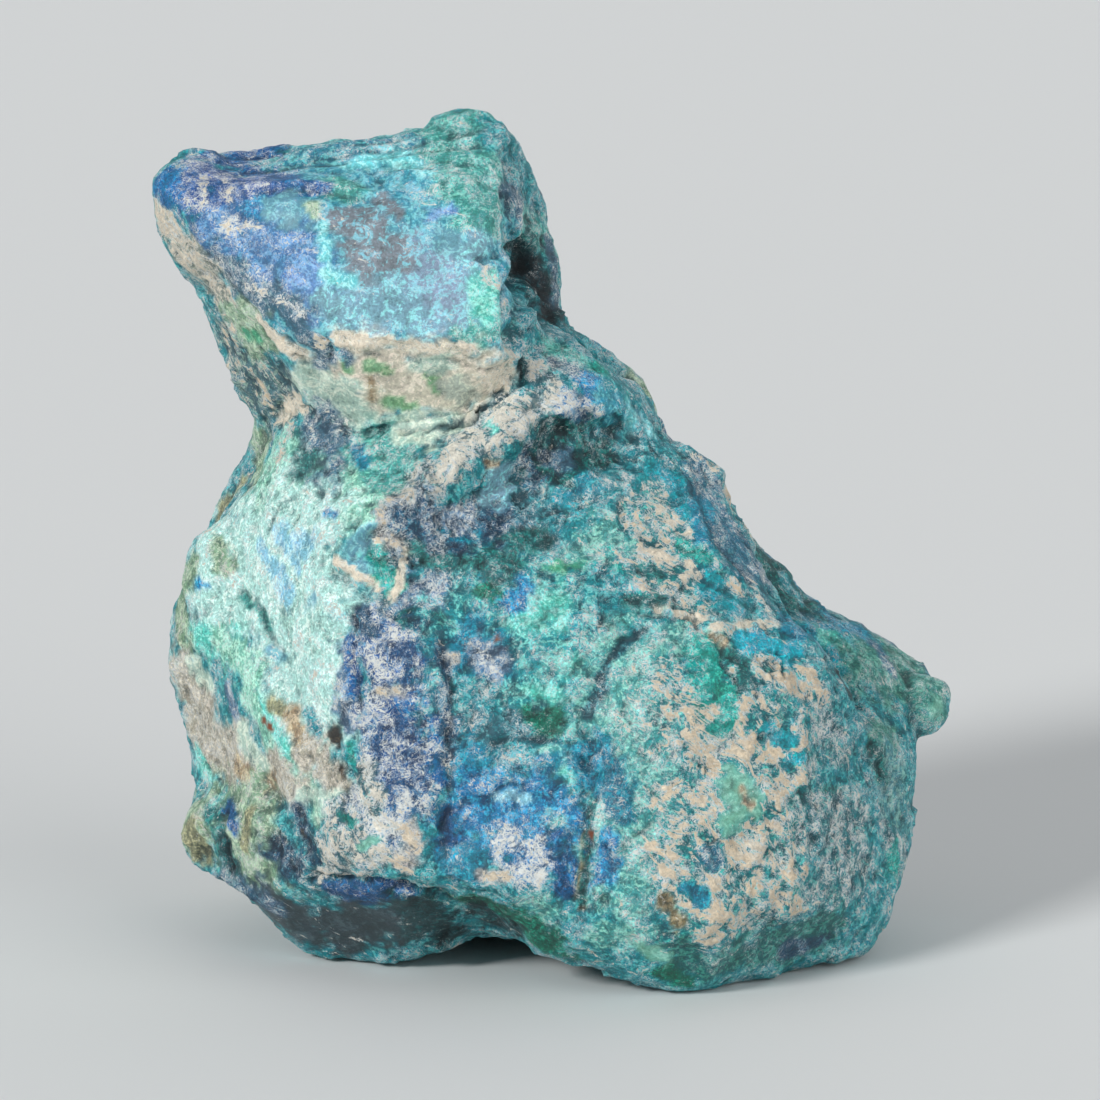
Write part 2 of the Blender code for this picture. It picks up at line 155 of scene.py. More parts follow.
skin = {  # sizes and heights in mm
    "weld": 0.001,  # points of the solid that are this close become one
    "ballDetail": 3,  # of the balls that fill its slots
    "voxel": 1.4,  # between points, halved on the side that the photograph shows
    "shown": -0.05,  # a face is on that side if it turns to the camera by more than this
    "melt": 3,  # smoothing rounds that take the solid's small facets away
    "smoothing": 0.5,  # of one round
    "cleave": (26, 0.36),  # rounds that gather it into flats, and how far one flat may turn
    "settle": 1,  # smoothing rounds after the halving
    "chips": [(8, 0.8, 0), (3.8, 0.45, 0), (1.8, 0.22, 0)],  # scallops: size, height, seed
    "breaks": [(19, 1.9, 5.3)],  # the broad ones on the sides that the photograph doesn't show
    "lumps": [(6, 0.25, 3.1), (1.5, 0.14, 3.1)],
    "grapes": (3.4, 0.7),  # rounded growths in the middle of the front
    "grapeWarp": (2.5, 0.9),  # size and distance of what makes them uneven
    "bedding": (1.5, 0.6, 5.2, (1, 0, 0.12)),  # size, height, seed and the way it runs
    "fibres": (1.1, 0.45, 8.4, (0.55, -0.35, -0.75)),
    "drawnOut": 7,  # how much longer than wide those two are
    "strays": [(3.5, 1.3, (1.7, 13.1, 37.3)), (1.4, 0.5, (4.1, 17.9, 29.3))],  # of the lines
    "lineFlank": 1.3,  # 1 is a straight flank, more is a hollow one
    "footFade": 1.5,  # the height over which relief sets in, so that the feet stay flat
    "ground": 0.02,  # nothing is lower
}

# Grinding: mm that it may take off, how far past its places a flat reaches, and how high
# over its plane the stone may stand before it is left alone, fading over the second height
grinding = {"most": 1.2, "reach": 1.8, "spared": (4, 2)}

# Clean breaks ground flat: how deep in mm, and places on the photograph that lie in the flat
flats = {
    "headFront": (0.8, [(215, 195), (300, 200), (460, 220), (470, 315), (350, 320), (270, 290)]),
    "headTop": (0.2, [(265, 163), (330, 150), (400, 145), (450, 125), (475, 150)]),
    "headRight": (0.3, [(508, 150), (528, 170), (515, 225), (540, 235)]),
    "cheekUpper": (0.3, [(170, 205), (180, 240), (205, 255), (205, 290), (245, 300)]),
    "cheekLower": (0.3, [(228, 330), (262, 345), (240, 385), (285, 385), (262, 410)]),
    "chinLeft": (0.3, [(305, 365), (345, 370), (305, 400), (350, 412)]),
    "chinFront": (0.3, [(370, 370), (475, 375), (385, 412), (455, 410)]),
    "leftFace": (0.15, [(235, 530), (310, 540), (320, 650), (250, 640)]),
    "leftLow": (0.3, [(195, 670), (265, 705), (205, 760), (275, 770)]),
    "footFront": (0.3, [(200, 825), (260, 830), (205, 870), (280, 875)]),
    "wedgeFace": (0.5, [(350, 545), (384, 540), (390, 588), (399, 562)]),
    "pillarFront": (0.25, [(385, 650), (430, 650), (385, 780), (430, 785)]),
    "ledgeFront": (0.3, [(465, 812), (555, 805), (470, 868), (550, 862)]),
    "slopeFront": (0.2, [(640, 480), (685, 500), (635, 570), (690, 590)]),
    "slopeSide": (0.35, [(708, 480), (722, 500), (715, 545), (748, 575)]),
    "blockTop": (0.4, [(742, 638), (792, 634), (755, 662), (800, 660)]),
    "blockFront": (0.3, [(690, 710), (780, 700), (790, 800), (700, 850), (770, 880)]),
    "blockLeft": (0.2, [(630, 690), (665, 700), (620, 800), (655, 860)]),
    "blockSide": (0.35, [(825, 745), (890, 745), (825, 880), (880, 860)]),
    "toeLeft": (0.3, [(630, 945), (700, 940), (650, 975), (710, 970)]),
    "toeRight": (0.3, [(735, 940), (860, 915), (750, 965), (860, 940)]),
    "spurFront": (0.3, [(865, 665), (915, 675), (880, 705), (925, 700)]),
    "belly": (0.2, [(285, 905), (380, 900), (320, 945), (400, 940)]),
}

# Slots of the solid that are shallower on the stone, filled with balls: each one's place on the
# photograph or in mm, and its radius in mm
fills = {
    "socket": [(556, 444, 3.4), (580, 442, 4), (604, 440, 4.6), (628, 442, 4.6), (642, 440, 3)],
    "backNotch": [(43, 17, 30, 6), (42, 15, 23, 6.5), (40, 11, 16, 6.5), (40, 12, 11, 6)],
    "footNotch": [(-47, 22, 20, 5), (-44, 16, 13, 6)],
    "neckBack": [(-38, 17, 89, 6), (-28, 18, 91, 6.5), (-18, 19, 92, 7), (-9, 20, 93, 7)],
}

# How each region broke: its kind, reach in mm and places on the photograph
breakage = {
    "headFace": ("clean", 17, [(235, 215), (330, 250), (450, 270)]),
    "headTop": ("bedded", 9, [(260, 160), (360, 150), (450, 140)]),
    "cheek": ("fibrous", 6, [(172, 225), (215, 280), (250, 330)]),
    "cheekLow": ("flaked", 6, [(245, 370), (275, 385)]),
    "chinFace": ("clean", 8, [(340, 390), (440, 390)]),
    "chinEnd": ("pitted", 4, [(500, 365), (505, 385)]),
    "headSide": ("rubble", 7, [(525, 200), (535, 270), (545, 310)]),
    "neck": ("fibrous", 8, [(270, 470), (370, 465)]),
    "crestTop": ("pitted", 7, [(550, 395), (490, 430), (430, 470), (390, 510)]),
    "shoulder": ("gritty", 8, [(560, 350), (620, 395)]),
    "socket": ("rubble", 8, [(545, 465), (620, 450)]),
    "hollow": ("rubble", 9, [(430, 540), (500, 530)]),
    "leftFace": ("worn", 14, [(220, 570), (270, 620), (300, 670), (230, 720)]),
    "leftFoot": ("pitted", 6, [(200, 840), (290, 850)]),
    "pillarFace": ("gritty", 8, [(400, 660), (400, 740), (400, 820)]),
    "middleFace": ("grapes", 13, [(540, 600), (520, 680), (530, 740)]),
    "blueLedge": ("gritty", 7, [(480, 840), (540, 850)]),
    "rightSlope": ("flaked", 11, [(640, 500), (670, 570)]),
    "slopeSide": ("clean", 5, [(710, 500), (735, 550)]),
    "blockFace": ("flaked", 14, [(660, 720), (740, 780), (700, 860)]),
    "blockSide": ("gritty", 9, [(850, 800), (880, 860)]),
    "spur": ("worn", 8, [(870, 650), (915, 690)]),
    "keelBelly": ("clean", 9, [(300, 925), (400, 925)]),
    "toeBevel": ("clean", 6, [(640, 965), (720, 960), (820, 940)]),
}

# How much of each kind of relief a break shows
reliefShares = {
    "clean": {"chips": 0.12, "lumps": 0.12},
    "bedded": {"chips": 0.6, "lumps": 0.6, "bedding": 1},
    "fibrous": {"chips": 0.5, "lumps": 0.5, "fibres": 1},
    "worn": {"chips": 0.3, "lumps": 0.6, "fibres": 0.4},
    "pitted": {"chips": 1.2, "lumps": 1.4},
    "rubble": {"chips": 1.6, "lumps": 1.3},
    "gritty": {"chips": 0.8, "lumps": 1.1},
    "grapes": {"chips": 0.9, "lumps": 1, "grapes": 1},
    "flaked": {"chips": 1.0, "lumps": 0.5},
    "between": {"chips": 1, "lumps": 1},  # where no region reaches, on the side that shows
    "unseen": {"breaks": 1, "chips": 0.4, "lumps": 1.1, "bedding": 0.35},  # and on the others
}

# Lines cut (-) or raised (+): height and half-width in mm, and places on the photograph
lines = {
    "chinCrack": (-1.9, 0.9, [(344, 428), (385, 428), (425, 431), (472, 421)]),
    "chinEndCrack": (-1.4, 1.0, [(472, 421), (497, 399), (521, 385), (524, 352)]),
    "chinLeftCrack": (-1.0, 1.0, [(262, 424), (285, 416), (306, 410)]),
    "chinRim": (0.7, 0.8, [(338, 336), (400, 343), (455, 350), (514, 350)]),
    "underRim": (-0.6, 1.3, [(345, 350), (400, 356), (455, 363), (500, 366)]),
    "cheekRim": (0.5, 1.1, [(165, 200), (210, 255), (262, 306), (318, 352)]),
    "cheekGap": (-0.5, 0.9, [(190, 235), (225, 282), (262, 318), (300, 350)]),
    "rimPit": (-1.5, 1.1, [(322, 338), (328, 343)]),
    "rimGap": (-1.1, 1.3, [(327, 350), (324, 366)]),
    "faceNotch": (-1.3, 1.3, [(482, 262), (496, 252), (507, 243)]),
    "faceRightGap": (-0.7, 1.0, [(502, 272), (510, 300), (516, 330)]),
    "caveEdge": (-1.2, 1.4, [(524, 252), (530, 290), (530, 332)]),
    "headEdge": (0.6, 1.2, [(498, 128), (496, 200), (500, 240)]),
    "wedgeLip": (0.9, 0.9, [(337, 562), (362, 578), (394, 600)]),
    "underWedge": (-1.2, 1.1, [(334, 574), (360, 592), (390, 612)]),
    "wedgeSide": (0.7, 0.8, [(394, 600), (401, 576), (404, 548)]),
    "neckPit": (-0.9, 1.4, [(317, 488), (322, 496)]),
    "neckStep": (-0.6, 1.1, [(360, 440), (352, 475), (335, 500)]),
    "leftGroove": (-0.8, 1.5, [(238, 590), (262, 612), (280, 655)]),
    "brownPit": (-1.0, 1.3, [(334, 738), (338, 745)]),
    "footGroove": (-1.1, 1.6, [(226, 815), (228, 875)]),
    "footBlueDent": (-0.8, 2.4, [(275, 842), (282, 862)]),
    "footRightDent": (-0.9, 1.4, [(300, 812), (312, 848)]),
    "pillarGroove": (-1.2, 1.1, [(357, 612), (354, 650), (358, 705)]),
    "pillarRight": (-1.4, 1.5, [(444, 640), (452, 700), (448, 770), (442, 850)]),
    "underLedge": (-2.6, 2, [(312, 878), (380, 882), (440, 894)]),
    "ledgeBrow": (0.7, 1.2, [(330, 860), (400, 867), (470, 878), (540, 880), (562, 860)]),
    "split": (-1.3, 1.7, [
        (640, 632), (618, 652), (600, 690), (584, 712), (594, 760), (586, 800), (590, 840), (579, 905),
    ]),
    "hollowCrack": (-1.0, 1.0, [(545, 518), (575, 508), (602, 500)]),
    "middleGap": (-0.9, 1.3, [(455, 640), (480, 655), (500, 652)]),
    "middleLowGap": (-0.9, 1.4, [(455, 735), (500, 742), (550, 736)]),
    "blockSeam": (-1.4, 1.0, [(640, 612), (688, 618), (716, 642), (742, 700)]),
    "blockBrow": (1.2, 1.1, [(650, 622), (700, 612), (722, 628), (800, 626)]),
    "blockWedge": (-0.9, 1.3, [(728, 652), (745, 672), (762, 690)]),
    "blueRim": (0.5, 0.8, [(800, 630), (818, 668), (850, 706)]),
    "spurGroove": (-1.6, 1.3, [(826, 652), (842, 676), (856, 704)]),
    "slopeEdge": (0.5, 1.0, [(690, 470), (700, 540), (760, 600), (778, 622)]),
    "slopeStep": (-0.7, 1.0, [(620, 520), (660, 545), (702, 556)]),
    "slopeFoot": (-1.4, 1.3, [(625, 600), (660, 606), (690, 606), (700, 622)]),
    "toeBrow": (0.4, 1.0, [(640, 935), (700, 945), (760, 915), (830, 905)]),
}

# Broad swells (+) and hollows (-): height and reach in mm, and places on the photograph
swells = {
    "socketLip": (-0.8, 5, [(550, 414), (590, 414), (635, 418)]),
    "headRightEdge": (-3, 4.5, [(518, 258), (521, 300), (519, 332)]),
    "headLeft": (1.5, 10, [(166, 195), (182, 226)]),
    "headTopDip": (-1.4, 5, [(244, 150), (264, 150)]),
    "headPeak": (1.0, 5, [(448, 118), (466, 118)]),
    "headPeakDip": (-0.9, 5, [(380, 134), (412, 130)]),
    "headBack": (0.7, 9, [(556, 262), (566, 318)]),
    "headUnder": (-1.2, 6, [(204, 305), (212, 335)]),
    "shoulderTop": (-1.9, 7, [(584, 336), (620, 362), (638, 380)]),
    "shoulderStart": (-2.2, 4, [(602, 350), (616, 364)]),
    "backOfNeck": (2.2, 4.5, [(572, 318), (576, 328)]),
    "wedgeTop": (-1.2, 4, [(380, 545), (396, 550)]),
    "neckLeft": (-1.7, 7, [(244, 455), (214, 512)]),
    "leftBulge": (0.8, 9, [(188, 560), (180, 600), (176, 640)]),
    "leftBrow": (1.0, 6, [(188, 558), (184, 580)]),
    "slopeTop": (1.3, 5, [(692, 455), (706, 464)]),
    "slopeNotch": (-1.8, 5, [(736, 508), (738, 516)]),
    "ledgeNotch": (-1.4, 6, [(780, 565), (795, 580)]),
    "spurTop": (-1.2, 6, [(850, 620), (915, 662)]),
    "spurTip": (2.4, 5, [(929, 695), (925, 710)]),
}


def distanceToPath(points, path):
    nearest = np.full(len(points), np.inf)
    for start, end in zip(path, path[1:] or path):
        along = end - start
        share = np.clip((points - start) @ along / max(along @ along, 1e-9), 0, 1)
        gap = points - start - share[:, None] * along
        nearest = np.minimum(nearest, np.sqrt((gap * gap).sum(axis=1)))
    return nearest


def smoothStep(share):
    share = np.clip(share, 0, 1)
    return share * share * (3 - 2 * share)


def falloff(distance, reach, steepness=2.2):
    # 1 up to about half the reach, then down to 0
    return smoothStep((1 - distance / reach) * steepness)


def nearness(points, places, reach):
    return falloff(distanceToPath(points, pathOf(places)), reach)


def shapeOver(points, size, shape, seed=0.0):
    # a shape that repeats at that size in mm, at every point
    return np.array([shape(p) for p in (points / size + seed).tolist()])


def noiseOver(points, size, seed=0.0):
    # smooth noise from about -1 to 1, in features of that size in mm
    return shapeOver(points, size, noise.noise, seed)


def strayOver(points, strays):
    # a smooth shift in x, y and z, from the size, distance and seeds of each stray
    return sum(
        distance * np.stack([noiseOver(points, size, seed) for seed in seeds], axis=1)
        for size, distance, seeds in strays
    )


def stretched(points, direction, factor):
    # squeezes space along a direction, so that noise there grows long in it
    along = np.array(direction) / np.linalg.norm(direction)
    return points - np.outer(points @ along, along) * (1 - 1 / factor)


def chipAt(place, bowl=0.8, height=1.4, rise=0.15):
    # the deepest of the tilted scallops round a place, so that keen ridges run between them
    leanSeed = 7.3
    gaps = [(Vector(place) - centre, centre) for centre in noise.voronoi(place)[1]]
    leans = [noise.cell_vector(centre * leanSeed) * 2 - Vector((1, 1, 1)) for gap, centre in gaps]
    deepest = min(gap.dot(lean) + bowl * gap.length_squared for (gap, centre), lean in zip(gaps, leans))
    return max(-1, min(1, deepest * height + rise))


def grapeAt(place, curve=2.2, sunk=0.4):
    # a rounded growth in each cell, highest at its middle and lowest between cells
    gap = noise.voronoi(place)[0][0]
    return 1 - min(1, gap * gap * curve) - sunk


def valuesOf(parts, key, width=1, kind=np.float32):
    # what a mesh's points, edges, corners or faces hold under a key, one row for each
    values = np.empty(len(parts) * width, kind)
    parts.foreach_get(key, values)
    return values.reshape(-1, width) if width > 1 else values


def sumAt(targets, rows, count):
    # the sum of the rows that go to each target
    return np.stack([np.bincount(targets, column, count) for column in rows.T], axis=1)


def cleave(mesh):
    # gathers the skin into flat breaks with keen edges between them, as a stone breaks
    rounds, turn = skin["cleave"]
    points = meshArrays(mesh)[0]
    normals = valuesOf(mesh.polygons, "normal", 3).astype(float)
    sides = valuesOf(mesh.polygons, "loop_total", kind=np.int32)
    corner = valuesOf(mesh.loops, "vertex_index", kind=np.int32)
    edge = valuesOf(mesh.loops, "edge_index", kind=np.int32)
    face = np.repeat(np.arange(len(sides)), sides)
    first, second = face[np.argsort(edge, kind="stable")].reshape(-1, 2).T
    for _ in range(rounds):
        bend = ((normals[first] - normals[second]) ** 2).sum(axis=1)
        alike = np.exp(-bend / (2 * turn * turn))[:, None]
        normals = normals + (
            sumAt(first, alike * normals[second], len(sides))
            + sumAt(second, alike * normals[first], len(sides))
        )
        normals /= np.linalg.norm(normals, axis=1)[:, None]
    valence = np.bincount(corner, minlength=len(points))[:, None]
    for _ in range(rounds):
        centres = sumAt(face, points[corner], len(sides)) / sides[:, None]
        gap = ((centres[face] - points[corner]) * normals[face]).sum(axis=1)[:, None]
        points = points + sumAt(corner, gap * normals[face], len(points)) / valence
    moveTo(mesh, points)


def refinedMesh(source):
    coarse = bpy.data.meshes.new("coarse")
    bm = bmesh.new()
    bm.from_mesh(source)
    bmesh.ops.remove_doubles(bm, verts=bm.verts, dist=skin["weld"] * mm)
    for *spot, radius in sum(fills.values(), []):
        move = Matrix.Translation(Vector(placed(spot)) * mm)
        bmesh.ops.create_icosphere(bm, subdivisions=skin["ballDetail"], radius=radius * mm, matrix=move)
    bm.to_mesh(coarse)
    bm.free()
    temp = bpy.data.objects.new("coarse", coarse)
    bpy.context.scene.collection.objects.link(temp)
    even = temp.modifiers.new("even", "REMESH")
    even.mode = "VOXEL"
    even.voxel_size = skin["voxel"] * mm
    fine = bpy.data.meshes.new_from_object(temp.evaluated_get(bpy.context.evaluated_depsgraph_get()))
    bpy.data.objects.remove(temp)
    bm = bmesh.new()
    bm.from_mesh(fine)
    smooth = {"factor": skin["smoothing"], "use_axis_x": True, "use_axis_y": True, "use_axis_z": True}
    for _ in range(skin["melt"]):
        bmesh.ops.smooth_vert(bm, verts=bm.verts, **smooth)
    bm.to_mesh(fine)
    bm.free()
    cleave(fine)
    bm = bmesh.new()
    bm.from_mesh(fine)
    bm.normal_update()
    for face in bm.faces:
        face.tag = face.normal.dot(-ahead) > skin["shown"]
    shown = [edge for edge in bm.edges if any(face.tag for face in edge.link_faces)]
    bmesh.ops.subdivide_edges(bm, edges=shown, cuts=1, use_grid_fill=True)
    for _ in range(skin["settle"]):
        bmesh.ops.smooth_vert(bm, verts=bm.verts, **smooth)
    many = [face for face in bm.faces if len(face.verts) > 4]  # they lie beside the halved ones
    bmesh.ops.triangulate(bm, faces=many)
    bm.to_mesh(fine)
    bm.free()
    return fine


def meshArrays(mesh):
    # points in mm and normals
    points, normals = (valuesOf(mesh.vertices, key, 3).astype(float) for key in ("co", "normal"))
    return points / mm, normals


def moveTo(mesh, points):
    mesh.vertices.foreach_set("co", (points * mm).astype(np.float32).ravel())
    mesh.update()


def hollowness(mesh, rounds):
    # how far each point lies under the skin round it, in mm
    points, normals = meshArrays(mesh)
    first, second = valuesOf(mesh.edges, "vertices", 2, np.int32).T
    total = len(points)
    count = np.bincount(np.concatenate([first, second]), minlength=total)[:, None]
    mean = points
    for _ in range(rounds):
        mean = (sumAt(first, mean[second], total) + sumAt(second, mean[first], total)) / count
    return ((mean - points) * normals).sum(axis=1)


def grind(points):
    # takes each clean break down to its plane
    height, fade = grinding["spared"]
    for sink, places in flats.values():
        hits = np.array(pathOf(places))
        middle = hits.mean(axis=0)
        facing = np.linalg.svd(hits - middle)[2][2]
        if facing @ (np.array(eye) / mm - middle) < 0:
            facing = -facing
        above = (points - middle) @ facing + sink
        radius = np.linalg.norm(hits - middle, axis=1).max()
        near = falloff(np.linalg.norm(points - middle, axis=1), radius * grinding["reach"])
        taken = np.clip(above, 0, grinding["most"]) * np.clip((height - above) / fade, 0, 1) * near
        points = points - np.outer(taken, facing)
    return points


def sculpt(mesh):
    under["tree"] = treeOf(mesh)
    moveTo(mesh, grind(meshArrays(mesh)[0]))
    points, normals = meshArrays(mesh)
    kinds = {kind: np.zeros(len(points)) for kind in reliefShares}
    for kind, reach, places in breakage.values():
        kinds[kind] = np.maximum(kinds[kind], nearness(points, places, reach))
    rest = np.clip(1 - sum(kinds.values()), 0, 1)
    away = smoothStep(2 * normals @ np.array(ahead))  # 1 where it turns well away from the camera
    kinds["between"], kinds["unseen"] = rest * (1 - away), rest * away
    total = sum(kinds.values())

    def share(relief):
        return sum(weight * reliefShares[kind].get(relief, 0) for kind, weight in kinds.items()) / total

    relief = np.zeros(len(points))
    for name, shape in (("chips", chipAt), ("lumps", noise.noise), ("breaks", chipAt)):
        for size, height, seed in skin[name]:
            relief += share(name) * height * shapeOver(points, size, shape, seed)
    size, height = skin["grapes"]
    warpSize, warp = skin["grapeWarp"]
    grown = share("grapes")
    there = grown > 0.01  # elsewhere it would only cost time
    warped = points[there] + warp * noiseOver(points[there], warpSize)[:, None]
    relief[there] += grown[there] * height * shapeOver(warped, size, grapeAt)
    for name in ("bedding", "fibres"):
        size, height, seed, direction = skin[name]
        relief += share(name) * height * noiseOver(stretched(points, direction, skin["drawnOut"]), size, seed)
    strayed = points + strayOver(points, skin["strays"])
    for height, width, places in lines.values():
        gap = distanceToPath(strayed, pathOf(places))
        relief += height * np.clip(1 - gap / width, 0, 1) ** skin["lineFlank"]
    for height, reach, places in swells.values():
        relief += height * nearness(points, places, reach)
    relief *= np.clip(points[:, 2] / skin["footFade"], 0, 1)
    worked = points + normals * relief[:, None]
    worked[:, 2] = np.maximum(worked[:, 2], skin["ground"])
    moveTo(mesh, worked)


stoneMesh = refinedMesh(cadStone.data)
print("skin refined:", sum(len(p.vertices) - 2 for p in stoneMesh.polygons), "triangles")
sculpt(stoneMesh)
stoneMesh.name = "stone"
stoneMesh.shade_smooth()
stone = bpy.data.objects.new("stone", stoneMesh)
bpy.context.scene.collection.objects.link(stone)
print("skin sculpted")


# Minerals. body and vein are the two tones that mingle, and share is the vein's part of the
# surface. Coverings, 0 to 1: frost (white threads and specks), crust (chalky coat, its warmth
# from white to beige), pits (dark specks), rust. fibre is streakiness, and gloss how clean the
# break is. What a mix doesn't name stays as it is under it
def mineral(body, vein, share, frost, crust, pits, **more):
    return {"body": body, "vein": vein, "share": share, "frost": frost, "crust": crust, "pits": pits, **more}


mixes = {
    "azure": {"body": "#2b6496", "vein": "#4a84b0", "share": 0.4, "frost": 0.1, "crust": 0},
    "ultramarine": mineral("#587ca6", "#7aa0c2", 0.45, 0.18, 0, 0.05, gloss=0.4),
    "flakedBlue": mineral("#425c90", "#647eac", 0.4, 0.28, 0.06, 0.1),
    "periwinkle": mineral("#6f8fbc", "#8fb2d2", 0.5, 0.1, 0, 0),
    "greyTurquoise": mineral("#6d96a5", "#85b4ba", 0.4, 0, 0, 0, gloss=0.8),
    "sky": mineral("#5c98ae", "#80bac4", 0.5, 0.14, 0, 0.05, gloss=0.4),
    "paleSky": mineral("#86a8b8", "#9bd0d6", 0.45, 0.1, 0, 0, gloss=0.4),
    "warmGrey": mineral("#7f878f", "#8ab8c4", 0.4, 0.12, 0, 0.05, gloss=0.5),
    "violetGrey": mineral("#8c9eb2", "#92c0ca", 0.45, 0.08, 0, 0, gloss=0.5),
    "seaGreen": mineral("#58a09c", "#86c6bd", 0.45, 0.25, 0, 0.12),
    "streakedSea": mineral("#42788c", "#6da9ae", 0.5, 0.2, 0, 0.2, fibre=0.9),
    "royalBlue": mineral("#305a90", "#4f80ae", 0.4, 0.25, 0, 0.1),
    "brightSky": mineral("#86cdd4", "#aee2e4", 0.5, 0.08, 0, 0),
    "brightSea": mineral("#74c6bd", "#a2dfd6", 0.5, 0.15, 0, 0.05),
    "vividTurquoise": mineral("#2b8d9c", "#4aaab6", 0.35, 0.15, 0, 0.05),
    "vividBlue": mineral("#2f9cb3", "#58bccb", 0.4, 0.2, 0, 0, fibre=0.7),
    "teal": mineral("#3a8c98", "#70b4b8", 0.4, 0.25, 0, 0.15),
    "paleTeal": mineral("#64a8a8", "#9ad0c6", 0.5, 0.25, 0.1, 0.12),
    "blueTeal": mineral("#327d99", "#549fb4", 0.4, 0.16, 0, 0.15),
    "deepSea": mineral("#2a6980", "#3d8494", 0.4, 0.14, 0, 0.15),
    "slateTeal": mineral("#44728a", "#5f8f9c", 0.4, 0.3, 0, 0.15),
    "slate": mineral("#4b6b80", "#6c8a92", 0.35, 0.25, 0.05, 0.2),
    "darkTeal": mineral("#2f6062", "#3f7f7c", 0.45, 0.12, 0, 0.2),
    # painted shade: near-black teal laid deep in the cave on the head's right side
    "caveTeal": mineral("#0a1f25", "#17393f", 0.3, 0.02, 0, 0.2),
    # the socket's dark green-teal, made darker still as painted shade of that hollow
    "socketTeal": mineral("#1d4c50", "#2f706c", 0.45, 0.14, 0, 0.25),
    "shadowTeal": mineral("#1b4145", "#2a5a5c", 0.35, 0.05, 0, 0.3),
    "seaDepth": mineral("#437884", "#6a9ea6", 0.4, 0.22, 0, 0.25),
    "inkBlue": mineral("#2f4c62", "#50717f", 0.35, 0.12, 0, 0.25),
    "navy": mineral("#365a76", "#5a8498", 0.4, 0.28, 0, 0.3),
    "mistViolet": mineral("#6c86a2", "#97adbf", 0.4, 0.36, 0, 0.15),
    "frostViolet": mineral("#40608f", "#6c8aae", 0.45, 0.4, 0, 0.25),
    "cobalt": mineral("#357aac", "#66acd0", 0.45, 0.22, 0, 0.1),
    "deepBlue": mineral("#22507c", "#3a70a0", 0.3, 0.12, 0, 0.2),
    "whiteBlue": mineral("#5587ba", "#98b8d2", 0.45, 0.56, 0.24, 0.12, warmth=0.1),
    "turquoiseGreen": mineral("#4798a2", "#88cdc8", 0.48, 0.22, 0, 0.18),
    "deepGreen": mineral("#2c6a5c", "#418f7c", 0.4, 0.1, 0, 0.2),
    "malachite": mineral("#5c9f84", "#86b89c", 0.4, 0.08, 0, 0.05, gloss=0.4),
    "paleMint": mineral("#b8dfd9", "#d6ebe4", 0.42, 0.15, 0.12, 0.1, warmth=0.25, fibre=0.5),
    "mintStreak": mineral("#8cc2b2", "#b4dccc", 0.5, 0.15, 0.05, 0.12, warmth=0.4, fibre=0.8),
    "iceBlue": mineral("#98c4d8", "#bcdde2", 0.45, 0.1, 0.03, 0.05),
    "sage": mineral("#8aa88f", "#adbfa8", 0.5, 0.15, 0.12, 0.2, warmth=0.5, fibre=0.5),
    "oliveTan": mineral("#8c8f76", "#a9a98a", 0.4, 0.08, 0.1, 0.15, warmth=0.6),
    "beigeMist": mineral("#aeaa9b", "#c6c0b3", 0.5, 0.22, 0.15, 0.12, warmth=0.6, fibre=0.4),
    "tan": mineral("#a3927a", "#bcae96", 0.5, 0.08, 0.05, 0.2, warmth=0.8),
    "chinStone": mineral("#cdc8b8", "#e0d7c9", 0.45, 0.04, 0.1, 0.04, warmth=0.55, gloss=0.8),
    "mintStone": mineral("#b0c6bb", "#ccd6c8", 0.45, 0.06, 0.08, 0.05, warmth=0.4, gloss=0.7),
    "greySmudge": mineral("#a2aaa0", "#b8bdae", 0.4, 0, 0.03, 0.08, gloss=0.6),
    "creamStreak": mineral("#aeb2a4", "#ccc7b8", 0.5, 0.15, 0.46, 0.3, warmth=0.5, fibre=0.6),
    "mottle": mineral("#5c7d86", "#88a097", 0.45, 0.12, 0.25, 0.25, warmth=0.7),
    "creamRim": mineral("#d6d0bc", "#e8e1ce", 0.5, 0.05, 0.6, 0.08, warmth=0.5),
    "whiteCrust": mineral("#4a868e", "#94bcb8", 0.45, 0.5, 0.42, 0.36, warmth=0.15),
    "pinkCrust": mineral("#a3a5a4", "#bdb5b0", 0.4, 0.3, 0.48, 0.15, warmth=0.75),
    "seaCrust": mineral("#2f8e96", "#66b6b0", 0.4, 0.33, 0.36, 0.2, warmth=0.8),
    "jade": mineral("#3c958e", "#62bbae", 0.4, 0.15, 0, 0.08),
    "smoothJade": mineral("#7aae9f", "#8fbcae", 0.4, 0.02, 0, 0, gloss=0.7),
    "frostTeal": mineral("#448a94", "#70aeac", 0.4, 0.38, 0.18, 0.25, warmth=0.1),
    "rimTeal": mineral("#5b919a", "#87b1ac", 0.45, 0.18, 0, 0.1),
    "spurGreen": mineral("#4a8680", "#70a296", 0.45, 0.18, 0, 0.1),
    "bevelTeal": mineral("#2c5d60", "#4d8880", 0.45, 0.12, 0, 0.12, gloss=0.6),
    # dark glassy chalcedony of the belly, kept darker also as painted shade under the ledge
    "chalcedony": mineral("#2b3a40", "#3f5054", 0.35, 0.01, 0, 0.1, gloss=1),
    "brownStain": mineral("#82785c", "#9c8f74", 0.5, 0.1, 0.1, 0.25, warmth=1),
    "darkPit": mineral("#4a4238", "#6b5c4c", 0.4, 0, 0, 0.5),
    "rustSpot": {"rust": 1, "crust": 0},
    "creamPatch": {"crust": 0.52, "warmth": 0.5, "pits": 0.1, "frost": 0.4},
    "beigePatch": {"crust": 0.54, "warmth": 0.85, "pits": 0.12, "frost": 0.4},
    "whitePatch": {"crust": 0.5, "warmth": 0.1, "pits": 0.25, "frost": 0.45},
    "flakes": {"crust": 0.3, "warmth": 0.4, "frost": 0.4},
    "greenCloud": mineral("#7fa585", "#9db898", 0.4, 0.04, 0, 0.05, gloss=0.4),
}

